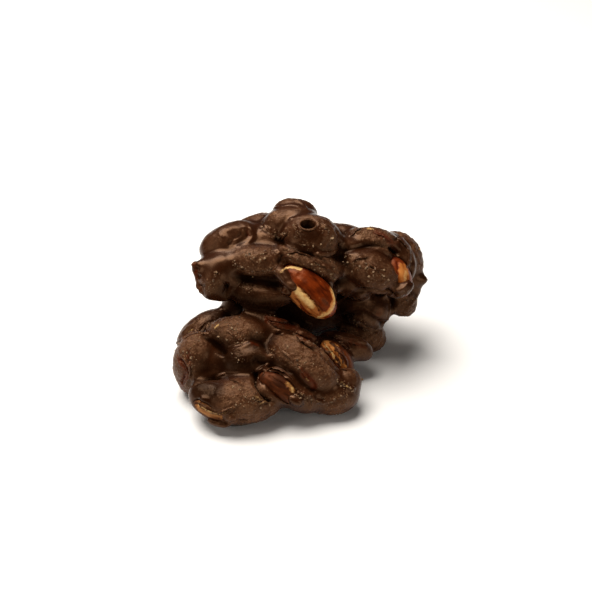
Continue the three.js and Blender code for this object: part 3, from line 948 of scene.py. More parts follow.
PALE_NUT = [
    # chips on the top nut and on the upper nut at the right
    ([(214.5, 328), (217, 326), (218.5, 325)], 0.4, 0.8),
    ([(367, 229), (369, 228.6), (373, 229.4)], 0.4, 0.9),
    # the upper rim of the split kernel: a painted highlight in cream
    ([(281, 272), (284, 269), (291, 267), (299, 268)], 0.45, 0.8),
    # the torn edge at the far left
    ([(196, 274), (197, 278)], 0.3, 0.8),
    # the back of the left flank
    ([(188, 333), (193, 329)], 0.3, 0.6),
    # the red notch in the big nut
    ([(307, 377), (308, 380)], 0.5, 0.6),
    # the right corner and the edge below it
    ([(341, 382), (348, 387), (352, 389)], 0.45, 0.5),
    ([(339, 396)], 0.5, 0.5),
    # the upper edge beside the torn kernel
    ([(335, 336), (345, 338)], 0.3, 0.5),
    # the left crown
    ([(242, 224)], 0.35, 0.5),
]


def write_attribute(obj, name, values):
    attribute = obj.data.attributes.get(name) or obj.data.attributes.new(name, "FLOAT", "POINT")
    attribute.data.foreach_set("value", np.asarray(values, np.float32))


write_attribute(mass, "red_skin", paint(mass, RED_SKIN))
write_attribute(mass, "pale_nut", paint(mass, PALE_NUT))
print("torn places:", len(RED_SKIN), "of red skin and", len(PALE_NUT), "of pale nut")

# %% [markdown]
# ## Where crumbs gather
# Chopped crumbs of nut and skin stand up under the thin coat. They cover the rough crowns, and lie thicker
# along the edges that the chocolate ran off. Those edges are routes again, with a half width and a share.

# %% Paint the lines of crumbs
CRUMB_LINES = [  # the route, half the width in millimetres, and the share
    # the band's lower edge and the band
    ([(236, 264), (246, 270), (260, 272), (273, 268)], 1.0, 1.0),
    ([(246, 253), (254, 262), (262, 256), (274, 250)], 1.2, 0.8),
    # the low front nut
    ([(240, 286), (250, 290)], 1.2, 1.0),
    # the block at the left
    ([(204, 292), (212, 286), (216, 277)], 1.4, 0.7),
    # the pool beside the dome
    ([(264, 229), (271, 233), (278, 236)], 1.3, 0.9),
    # the dome's left edge, its right edge and its crown
    ([(280, 240), (285, 232)], 0.8, 0.8),
    ([(324, 228), (331, 238), (327, 249)], 1.3, 0.9),
    ([(297, 226), (300, 238), (310, 246)], 1.4, 0.5),
    # the plate over the bare kernel
    ([(288, 253), (303, 261), (320, 268), (334, 277)], 1.3, 0.8),
    # the two nuts at the right
    ([(348, 260), (364, 268), (384, 280)], 2.2, 0.7),
    ([(345, 234), (356, 231), (370, 230)], 1.6, 0.8),
    # the low nuts at the right
    ([(404, 294), (413, 300), (408, 310)], 1.4, 0.8),
    ([(352, 319), (364, 326), (378, 334)], 1.8, 0.9),
    # the top nut
    ([(224, 322), (236, 330), (240, 341)], 1.6, 0.8),
    # the left flank
    ([(186, 352), (192, 362), (190, 374)], 1.6, 0.8),
    # the small nut in the middle
    ([(234, 352), (243, 360)], 1.2, 0.8),
    # the foot
    ([(232, 386), (246, 392), (252, 400), (268, 404)], 1.4, 0.9),
    ([(198, 384), (207, 388), (216, 394)], 1.6, 0.3),
    # the big nut
    ([(270, 350), (284, 360), (297, 364)], 1.4, 0.7),
    # the lower right edge and the right corner
    ([(297, 393), (318, 402), (335, 400), (345, 394)], 1.2, 0.9),
    ([(338, 380), (348, 387), (354, 390)], 1.0, 1.0),
]
crumbly = paint(mass, CRUMB_LINES)
print("share of the skin that is crumbly:", round(float(crumbly.mean()), 3))

# %% [markdown]
# ## Relief of the coat
# Displace modifiers with procedural clouds raise the coat: wide and low ones for a coat of uneven
# thickness, small and steep ones for the crumbs. Vertex groups hold them back, so the pools stay smooth.

# %% Raise the coat and its crumbs
WEIGHT_STEPS = 20  # a group is filled step by step, as one call for each point would be slow
CROWN_CRUMBS = 0.6  # how high the crumbs of the roughest crown stand, against those on the lines
UNEVEN_ACROSS = 3.5 * MM  # about half as wide as a peanut is thick
UNEVEN_HEIGHT = 0.5 * MM
CRUMB_ACROSS = 0.8 * MM  # pieces of chopped nut under the coat
CRUMB_HEIGHT = 0.9 * MM


def weight_group(obj, name, values):
    group = obj.vertex_groups.new(name=name)
    steps = np.round(np.clip(values, 0, 1) * WEIGHT_STEPS).astype(int)
    for step in range(1, WEIGHT_STEPS + 1):
        group.add(np.nonzero(steps == step)[0].tolist(), step / WEIGHT_STEPS, "REPLACE")
    return name


def raise_clouds(obj, name, across, height, detail, group):
    """Lift and sink the skin by half the height, with clouds of the width across."""
    texture = bpy.data.textures.new(name, "CLOUDS")
    texture.noise_scale = across
    texture.noise_depth = detail
    modify(obj, "DISPLACE", texture=texture, texture_coords="LOCAL", strength=height, mid_level=0.5,
           vertex_group=group)


crumb_group = weight_group(mass, "crumbs", np.maximum(CROWN_CRUMBS * crown * rough, crumbly))
crown_group = weight_group(mass, "thin_coat", crown)
raise_clouds(mass, "uneven_coat", UNEVEN_ACROSS, UNEVEN_HEIGHT, 1, crown_group)
raise_clouds(mass, "crumb_lumps", CRUMB_ACROSS, CRUMB_HEIGHT, 3, crumb_group)
flatten_base(mass)
print("relief raised, top in mm:", round(float(raw_points(mass)[:, 2].max() / MM), 1))

# %% [markdown]
# The mesh is far finer than the smooth pools need. A Decimate modifier takes triangles where the skin is
# nearly flat and keeps them where it is creased. The attributes are written first and come along.

# %% Write the attributes and thin the mesh
PIECE_TRIANGLES = 190000
for name, values in (("crown", crown), ("rough", rough), ("hollow_shade", hollow_shade), ("crumbly", crumbly)):
    write_attribute(mass, name, values)
modify(mass, "DECIMATE", ratio=PIECE_TRIANGLES / triangles(mass))
print("chocolate finished:", triangles(mass), "triangles")

# %% [markdown]
# ## Dark chocolate: what its patterns are made of
# Tempered dark chocolate has a satin gloss. Over the peanuts the coat is thin: it looks browner and
# duller there, with pale specks where crumbs break the surface. Its patterns are noise at real sizes. The
# shares that were measured and painted tell where each of them shows.

# %% Shares and patterns of the coat
COAT_NOISE = {  # size on the real coat in millimetres, and detail
    "cloud": (2.5, 4.0),  # a slow change of tone, about a third of a peanut's girth
    "blotch": (1.0, 4.0),  # patches where the coat is thinner than beside them
    "fine": (0.4, 3.0),  # cocoa dust: far finer in fact, but drawn as coarse as it needs to show
}
NOISE_ROUGHNESS = 0.65
SPECK_APART = 0.55  # millimetres from one small crumb to the next
BROAD_PART = 0.6  # where two patterns are mixed, this much is the broader one
FINE_PART = 0.4
LEAST_THIN = 0.25  # so that the crown of even the smoothest peanut is a little dull
CROWN_SPECKS = 0.4  # how far specks show on a crown, against those on the lines of crumbs


def coat_shares(tree):
    """What was measured and painted on the skin, each from 0 to 1."""
    names = ("crown", "rough", "hollow_shade", "crumbly", "red_skin", "pale_nut")
    share = {name: node(tree, "Attribute", attribute_name=name).outputs["Fac"] for name in names}
    rougher = node(tree, "Math", {0: share["rough"], 1: LEAST_THIN}, operation="ADD")
    share["thin"] = node(tree, "Math", {0: share["crown"], 1: rougher}, operation="MULTIPLY").outputs[0]
    return share


def coat_patterns(tree, share):
    """Noise of three sizes, and specks in patches, where the coat is thin or full of crumbs."""
    place_on = node(tree, "TexCoord").outputs["Object"]
    pattern = {name: node(tree, "TexNoise", {
        "Vector": place_on, "Scale": 1 / (size * MM), "Detail": detail,
        "Roughness": NOISE_ROUGHNESS}).outputs["Fac"] for name, (size, detail) in COAT_NOISE.items()}
    cells = node(tree, "TexVoronoi", {
        "Vector": place_on, "Scale": 1 / (SPECK_APART * MM), "Randomness": 1.0}).outputs["Distance"]
    # a dot is the middle of a cell, and only some patches of the coat have dots
    dots = node(tree, "MapRange", {"Value": cells, "From Min": 0.42, "From Max": 0.12})
    patches = node(tree, "MapRange", {"Value": pattern["blotch"], "From Min": 0.42, "From Max": 0.62})
    specks = node(tree, "Math", {0: dots, 1: patches}, operation="MULTIPLY")
    on_crown = node(tree, "Math", {0: share["thin"], 1: CROWN_SPECKS}, operation="MULTIPLY")
    gritty = node(tree, "Math", {0: on_crown, 1: share["crumbly"]}, operation="MAXIMUM")
    pattern["specks"] = node(tree, "Math", {0: specks, 1: gritty}, operation="MULTIPLY").outputs[0]
    return pattern


print("patterns of the coat in mm:", {name: size for name, (size, _) in COAT_NOISE.items()})

# %% [markdown]
# ## Dark chocolate: its colour
# The colour is built in layers: deep brown chocolate, then a browner tone where the coat is thin, dusty
# bloom, specks of nut, painted shade in the creases and hollows, torn red skin, and pale nut on top.

# %% The colour of the coat
COAT_DARK, COAT_LIGHT = "#1e0b03", "#341708"  # thick chocolate: nearly black, with a warm brown in it
COAT_THIN = "#44230f"  # a milky brown, because the nut shines through
BLOOM = "#583a26"  # a greyish dust of sugar and fat, which makes the crowns look dry
SPECK = "#a07a54"  # cut nut under a film of chocolate
# painted shade: the near-black laid over creases and hollows
CREASE_SHADE = "#100501"  # where hardly any light gets in
TORN_SKIN = "#4a1706"  # red-brown: a warm accent in the coat
# also the painted highlight along the half peanut's upper rim
NUT_AND_HIGHLIGHT = "#b8925c"  # straw-coloured flesh of a broken nut


def layer_shares(tree, share, pattern):
    """How far each layer covers the one below, from the lowest to the highest."""
    thinner = node(tree, "MapRange", {"Value": pattern["blotch"], "From Min": 0.3, "From Max": 0.7})
    brown = node(tree, "Math", {0: share["thin"], 1: thinner}, operation="MULTIPLY")
    slow = node(tree, "Math", {0: pattern["cloud"], 1: BROAD_PART}, operation="MULTIPLY")
    quick = node(tree, "Math", {0: pattern["fine"], 1: FINE_PART}, operation="MULTIPLY")
    dust = node(tree, "Math", {0: slow, 1: quick}, operation="ADD")
    # the noise breaks up the edge of each layer, so that nothing looks drawn
    dusty = node(tree, "MapRange", {"Value": dust, "From Min": 0.46, "From Max": 0.62})
    bloom = node(tree, "Math", {0: dusty, 1: share["thin"]}, operation="MULTIPLY")
    red = node(tree, "Math", {0: share["red_skin"], 1: pattern["blotch"]}, operation="ADD")
    torn = node(tree, "MapRange", {"Value": red, "From Min": 0.8, "From Max": 1.4})
    pale = node(tree, "Math", {0: share["pale_nut"], 1: pattern["fine"]}, operation="ADD")
    nut = node(tree, "MapRange", {"Value": pale, "From Min": 0.9, "From Max": 1.2})
    # the fourth layer is painted shade in the creases and hollows
    return [(brown, COAT_THIN), (bloom, BLOOM), (pattern["specks"], SPECK), (share["hollow_shade"], CREASE_SHADE),
            (torn, TORN_SKIN), (nut, NUT_AND_HIGHLIGHT)]


def coat_colour(tree, share, pattern):
    shown = node(tree, "Mix", {"Factor": pattern["cloud"], 6: colour(COAT_DARK), 7: colour(COAT_LIGHT)},
                 data_type="RGBA").outputs[2]
    for covered, tone in layer_shares(tree, share, pattern):
        shown = node(tree, "Mix", {"Factor": covered, 6: shown, 7: colour(tone)},
                     data_type="RGBA").outputs[2]
    return shown


print("thick chocolate in linear light:", [round(c, 4) for c in colour(COAT_DARK)[:3]])

# %% [markdown]
# ## Dark chocolate: its relief and its gloss
# The last fine relief is only shaded, by a Bump node: ripples where the coat is thin, and the specks. The
# pools are glossier than the crowns. In a crease chocolate mirrors only chocolate, so the sheen goes.

# %% The chocolate's finish
POOL_GLOSS, CROWN_GLOSS = 0.27, 0.42  # the shader's roughness, from satin to dull
SHEEN = 0.38  # a little under the shader's usual 0.5, because the satin is soft
SHEEN_TINT = "#ffc290"  # a mirror of warm brown surroundings
BUMP_HEIGHT = 0.35 * MM


def coat_height(tree, share, pattern):
    """Relief finer than the mesh: ripples where the coat is thin, and the specks."""
    broad = node(tree, "Math", {0: pattern["blotch"], 1: BROAD_PART}, operation="MULTIPLY")
    small = node(tree, "Math", {0: pattern["fine"], 1: FINE_PART}, operation="MULTIPLY")
    ripples = node(tree, "Math", {0: broad, 1: small}, operation="ADD")
    on_thin = node(tree, "Math", {0: ripples, 1: share["thin"]}, operation="MULTIPLY")
    return node(tree, "Math", {0: on_thin, 1: pattern["specks"]}, operation="ADD")


def dark_chocolate():
    """Tempered dark chocolate over peanuts: satin in the pools, dull and dusty brown on the crowns."""
    material, tree = new_material("tempered_dark_chocolate")
    share = coat_shares(tree)
    pattern = coat_patterns(tree, share)
    gloss = node(tree, "MapRange", {"Value": share["thin"], "To Min": POOL_GLOSS, "To Max": CROWN_GLOSS})
    bump = node(tree, "Bump", {
        "Height": coat_height(tree, share, pattern), "Strength": 0.9, "Distance": BUMP_HEIGHT})
    unshaded = node(tree, "Math", {0: 1.0, 1: share["hollow_shade"]}, operation="SUBTRACT")
    sheen = node(tree, "Math", {0: SHEEN, 1: unshaded}, operation="MULTIPLY")
    shader = node(tree, "BsdfPrincipled", {
        "Base Color": coat_colour(tree, share, pattern), "Roughness": gloss, "Normal": bump, "IOR": 1.5,
        "Specular IOR Level": sheen, "Specular Tint": colour(SHEEN_TINT)})
    node(tree, "OutputMaterial", {"Surface": shader})
    return material


chocolate = dark_chocolate()
mass.data.materials.clear()
mass.data.materials.append(chocolate)
mass.name = "chocolate_coat"
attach(mass, "root")
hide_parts("chocolate")
print("nodes in the chocolate's finish:", len(chocolate.node_tree.nodes))

# %% [markdown]
# ## The rim of the bubble
# The burst bubble left a rim as thin as paper. The remesh rounded it off, so it is laid on again as a ring
# of its own, with the finish of a crown.

# %% Lay the rim
RIM_ROUGH = 0.6

deselect_all()
rim = bubble_ring()
rim.name = "bubble_rim"
rim.data.materials.append(chocolate)
write_attribute(rim, "crown", np.ones(len(rim.data.vertices)))
write_attribute(rim, "rough", np.full(len(rim.data.vertices), RIM_ROUGH))
bpy.ops.object.shade_smooth()
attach(rim, "root")
print("rim laid:", triangles(rim), "triangles")

# %% [markdown]
# ## Loose crumbs
# Crumbs of nut stick to the coat where it is rough. One crumb is modelled, a ball with its points pushed
# about. It is copied with many turns and sizes, and the copies are joined. A fixed seed lays them the same
# way each time.

# %% Lay the crumbs
CRUMB_SEED = 11
CRUMB_COUNT = 650
CRUMB_LINE_CHANCE = 12  # crumbs lie this much closer along the lines than on a rough crown
CRUMB_SIZES = (0.09, 0.30)  # half width, millimetres
CRUMB_JAGGED = 0.25  # how far its points are pushed, in parts of its half width
CRUMB_LIFT = 0.2  # how far its middle stands off the skin, in the same parts
CRUMB_FLAT = 0.8  # its thickness against its width


def crumb_form():
    bpy.ops.mesh.primitive_ico_sphere_add(subdivisions=1, radius=1)
    form = bpy.context.object
    bpy.ops.object.mode_set(mode="EDIT")
    bpy.ops.mesh.select_all(action="SELECT")
    bpy.ops.transform.vertex_random(offset=CRUMB_JAGGED, seed=CRUMB_SEED)
    bpy.ops.object.mode_set(mode="OBJECT")
    return form


def lay_crumb(form, point, normal, rng):
    small, large = CRUMB_SIZES
    size = small + (large - small) * rng.random() ** 3
    spin = Matrix.Rotation(rng.random() * math.tau, 4, "Z")
    turn = spin @ Matrix.Rotation(rng.random() * math.tau, 4, "X")
    crumb = bpy.data.objects.new("crumb", form.data.copy())
    bpy.context.scene.collection.objects.link(crumb)
    at = place(point + normal * size * CRUMB_LIFT)
    wide = Matrix.Diagonal((size * MM * (1 + rng.random()), size * MM, size * MM * CRUMB_FLAT, 1))
    crumb.data.transform(Matrix.Translation(at) @ turn @ wide)
    return crumb


def scatter(obj, form, count, chance):
    """Crumbs on the skin of an object, more where the chance is higher."""
    rng = np.random.default_rng(CRUMB_SEED)
    points, normals = points_of(obj), normals_of(obj)
    chosen = rng.choice(len(points), size=count, replace=False, p=chance / chance.sum())
    return join("nut_crumbs", [lay_crumb(form, points[index], normals[index], rng) for index in chosen])


def attribute_of(obj, name):
    values = np.empty(len(obj.data.vertices), np.float32)
    obj.data.attributes[name].data.foreach_get("value", values)
    return values


bpy.context.view_layer.update()
thin_share = attribute_of(mass, "crown") * attribute_of(mass, "rough")
chance = thin_share ** 2 + CRUMB_LINE_CHANCE * paint(mass, CRUMB_LINES) ** 2
crumb_shape = crumb_form()
crumbs_piece = scatter(mass, crumb_shape, CRUMB_COUNT, chance)
bpy.data.objects.remove(crumb_shape)
print(CRUMB_COUNT, "crumbs laid:", triangles(crumbs_piece), "triangles")

# %% [markdown]
# ## The crumbs' finish
# Chopped nut is cream inside, and most crumbs are half hidden by a film of chocolate. One noise, larger
# than a crumb, gives each its own tone between the two, so that neighbours differ.

# %% Finish the crumbs
CRUMB_TONE_ACROSS = 1.2  # millimetres: about two crumbs


def chopped_nut():
    """Chopped roasted nut under a film of chocolate: from brown to cream, and dull, as a cut face is."""
    material, tree = new_material("chopped_roasted_nut")
    place_on = node(tree, "TexCoord").outputs["Object"]
    cloud = node(tree, "TexNoise", {
        "Vector": place_on, "Scale": 1 / (CRUMB_TONE_ACROSS * MM), "Detail": 3.0}).outputs["Fac"]
    dusted = node(tree, "MapRange", {"Value": cloud, "From Min": 0.35, "From Max": 0.75})
    mixed = node(tree, "Mix", {"Factor": dusted, 6: colour("#3c2413"), 7: colour("#ab8a66")},
                 data_type="RGBA").outputs[2]
    shader = node(tree, "BsdfPrincipled", {
        "Base Color": mixed, "Roughness": 0.6, "IOR": 1.46, "Specular IOR Level": 0.3})
    node(tree, "OutputMaterial", {"Surface": shader})
    return material


crumbs_piece.data.materials.clear()
crumbs_piece.data.materials.append(chopped_nut())
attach(crumbs_piece, "root")
print("crumbs finished:", crumbs_piece.data.materials[0].name)

# %% [markdown]
# ## The bare kernels: what is drawn on them
# A roasted peanut is a pale cream to caramel seed in a thin, glossy, red-brown skin. Where the skin rubbed
# off, the seed shows. Each kernel has its seam, its wrinkles and the edge of its skin drawn on it with the
# same brushes as the coat. On the half peanut the cream is partly painted highlight: a strip by the seam
# and a line along its upper and right rims.

# %% What is drawn on each kernel
FINISHES = {  # the slot, what is carved, where the skin is gone, and where the seed is pale
    "half_front": ("roasted_half_peanut", [
        ([(303, 291), (310, 298), (316, 305), (322, 314)], 0.6, -0.8),
        ([(303, 269), (318, 277), (330, 288), (334, 302), (328, 312), (317, 317)], 0.8, 0.25),
        ([(296, 300), (303, 306), (311, 311)], 1.0, -0.2),
        ([(300, 275), (312, 282), (322, 292)], 1.2, -0.15),
    ], [
        ([(287, 297), (295, 309), (310, 317)], 3.8, 1.0),
        ([(288, 300), (297, 311), (308, 317), (317, 318)], 2.0, 1.0),
        ([(296, 291), (304, 301), (315, 313)], 1.6, 1.0),
        # the right and upper rims are bared, so that the painted highlight in cream shows there
        ([(331, 289), (334, 300), (330, 311), (319, 317)], 0.9, 1.0),
        ([(286, 268), (292, 267), (300, 269)], 0.6, 0.9),
        ([(292, 296), (295, 303), (300, 309), (307, 314)], 1.8, 1.0),
    ], [
        # painted highlight in cream: a strip by the seam and the lit upper and right rims
        ([(297, 291), (303, 297), (311, 305)], 1.3, 0.85),
        ([(331, 289), (334, 300), (330, 311), (319, 317)], 0.7, 0.8),
        ([(286, 268), (292, 267), (300, 269)], 0.7, 1.0),
    ]),
    "tan_right": ("roasted_peanut", [
        ([(398, 262), (398, 270), (397, 278)], 0.5, -0.3),
    ], [
        ([(404, 268), (404, 276), (402, 284)], 1.6, 1.0),
    ], [
        ([(406, 272), (405, 280)], 0.8, 0.6),
    ]),
    "tan_rough": ("fibrous_peanut", [
        ([(323, 345), (330, 354), (337, 362)], 0.5, 0.35),
        ([(328, 347), (333, 355), (338, 361)], 0.4, -0.35),
        ([(335, 349), (338, 356), (343, 363)], 0.5, 0.4),
        ([(331, 343), (337, 348), (341, 355)], 0.4, -0.4),
    ], [
        ([(324, 344), (330, 352), (337, 362), (342, 368)], 1.3, 0.9),
        ([(328, 343), (335, 347)], 1.0, 0.7),
        ([(333, 350), (336, 357), (339, 361)], 0.8, 0.45),
    ], [
        ([(326, 347), (330, 352)], 0.5, 0.45),
        ([(334, 358), (339, 364)], 0.6, 0.5),
    ]),
    "skin_front": ("skinned_peanut", [
        ([(270, 376), (278, 381), (286, 386)], 0.5, -0.25),
        ([(274, 374), (283, 379), (289, 384)], 0.5, 0.2),
    ], [
        ([(288, 384), (293, 390)], 0.8, 0.8),
    ], [
        ([(292, 388), (293, 391)], 0.6, 0.6),
    ]),
    "foot_kernel": ("streaked_peanut", [
        ([(198, 404), (206, 409), (217, 413), (228, 411)], 0.4, -0.3),
        ([(200, 407), (210, 412), (220, 415)], 0.4, 0.3),
    ], [
        ([(200, 406), (208, 411), (217, 415), (230, 413)], 1.5, 0.85),
    ], [
        ([(199, 404), (206, 409)], 0.5, 0.9),
        ([(208, 411), (218, 415)], 0.4, 0.5),
    ]),
}
stroke_counts = [len(strokes) for finish in FINISHES.values() for strokes in finish[1:]]
print("strokes on the kernels:", sum(stroke_counts))

# %% [markdown]
# ## The bare kernels: their finish
# The kernels were roasted unevenly, so each has its own shades. All of them share one recipe: skin over
# seed, cream where it is pale and where a highlight is painted, and a fine grain that runs along the
# kernel. Noise breaks up every edge between two colours, so that it looks torn and not drawn.

# %% The finish of a roasted peanut
SHADES = {  # skin from dark to light, seed from dark to light, and roughness
    "half_front": ("#340c03", "#6a2608", "#7e3e12", "#b8723a", 0.28),
    "tan_right": ("#50190a", "#7c3210", "#8a4414", "#bd773a", 0.35),
    "tan_rough": ("#2c1206", "#5a2a10", "#7a3c12", "#c88444", 0.40),
    "skin_front": ("#240c04", "#4c220e", "#6a3c18", "#a87c48", 0.50),
    "foot_kernel": ("#2a140a", "#4a2a14", "#5e3416", "#a87242", 0.60),
}
# also the painted highlight on the half peanut's seed and rims
CREAM_AND_HIGHLIGHT = "#d8b272"  # the inside of the seed, where it split
KERNEL_NOISE = {  # size on the real kernel in millimetres, and detail
    "cloud": (2.6, 5.0),  # patches that were roasted darker
    "fine": (0.6, 4.0),  # bits of skin that flaked off or stayed on
}
GRAIN_ACROSS = 0.7  # millimetres: far finer in fact, but drawn as coarse as it needs to show
GRAIN_STRETCH = 4.0  # the grain runs this much longer along a kernel than across it
GRAIN_HEIGHT = 0.25 * MM
TORN_EDGES = [  # a new share, the share and the pattern it adds up, where it begins and where it is full
    ("patchy", "cloud", "grain", 0.8, 1.2),
    ("creamy_and_highlit", "pale", "fine", 0.85, 1.35),
    ("ragged", "fine", "grain", 0.5, 1.5),
    ("peeled", "bare", "ragged", 0.75, 1.05),
]


def kernel_shares(tree, row):
    """Shares and patterns of a kernel, with the grain along its axis."""
    heading, rise = (math.radians(angle) for angle in row[2:4])
    place_on = node(tree, "TexCoord").outputs["Object"]
    along = node(tree, "Mapping", {
        "Vector": place_on, "Rotation": (0, -rise, heading), "Scale": (GRAIN_STRETCH, 1, 1)},
        vector_type="TEXTURE")
    share = {name: node(tree, "Attribute", attribute_name=name).outputs["Fac"] for name in ("bare", "pale")}
    for name, (size, detail) in KERNEL_NOISE.items():
        share[name] = node(tree, "TexNoise", {
            "Vector": place_on, "Scale": 1 / (size * MM), "Detail": detail}).outputs["Fac"]
    share["grain"] = node(tree, "TexNoise", {
        "Vector": along, "Scale": 1 / (GRAIN_ACROSS * MM), "Detail": 4.0}).outputs["Fac"]
    for name, first, second, start, end in TORN_EDGES:
        total = node(tree, "Math", {0: share[first], 1: share[second]}, operation="ADD")
        share[name] = node(tree, "MapRange", {"Value": total, "From Min": start, "From Max": end})
    return share


def roasted_peanut(name, row, skin_dark, skin_light, seed_dark, seed_light, gloss):
    """Red-brown skin over a caramel seed: light and warm, so the eye finds it first in the dark coat."""
    material, tree = new_material(name)
    share = kernel_shares(tree, row)
    skin = node(tree, "Mix", {"Factor": share["patchy"], 6: colour(skin_dark), 7: colour(skin_light)},
                data_type="RGBA").outputs[2]
    seed = node(tree, "Mix", {"Factor": share["patchy"], 6: colour(seed_dark), 7: colour(seed_light)},
                data_type="RGBA").outputs[2]
    inside = node(tree, "Mix", {"Factor": share["creamy_and_highlit"], 6: seed, 7: colour(CREAM_AND_HIGHLIGHT)},
                  data_type="RGBA").outputs[2]
    shown = node(tree, "Mix", {"Factor": share["peeled"], 6: skin, 7: inside}, data_type="RGBA").outputs[2]
    bump = node(tree, "Bump", {"Height": share["grain"], "Strength": 0.5, "Distance": GRAIN_HEIGHT})
    shader = node(tree, "BsdfPrincipled", {
        "Base Color": shown, "Roughness": gloss, "Normal": bump, "IOR": 1.46,
        "Specular IOR Level": 0.3, "Specular Tint": colour("#ffa870")})
    node(tree, "OutputMaterial", {"Surface": shader})
    return material


print("shades for", len(SHADES), "kernels")

# %% [markdown]
# ## The bare kernels: model and finish them
# Each kernel gets a fine even mesh first, so that the brushes have points to move and to paint. It is
# painted before it is carved, because the routes then still lie on its plain shape.

# %% Model the bare kernels
KERNEL_VOXEL = 0.2 * MM
rows = {row[0]: row for row in BARE}
for name, kernel in kernels.items():
    slot, carved, bared, pale_and_highlit_strokes = FINISHES[name]
    remesh(kernel, KERNEL_VOXEL)
    bpy.context.view_layer.update()
    bare = paint(kernel, bared)
    pale = paint(kernel, pale_and_highlit_strokes)
    carve(kernel, carved)
    write_attribute(kernel, "bare", bare)
    write_attribute(kernel, "pale", pale)
    kernel.name = name + "_kernel"
    kernel.data.materials.clear()
    kernel.data.materials.append(roasted_peanut("peanut_" + slot, rows[name], *SHADES[name]))
    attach(kernel, "root")
    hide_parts(name)
    print(kernel.name, triangles(kernel), "triangles")

bpy.data.objects.remove(form)

# %% [markdown]
# ## Thin torn edges: where they stand
# Where the coat broke, or ran out thin over a kernel, its edge stands up like a small flake. The torn
# kernel at the right has more of them than any other place, as shards of its fibres. Each flake is a
# route, with what it needs to be shaped and coloured.

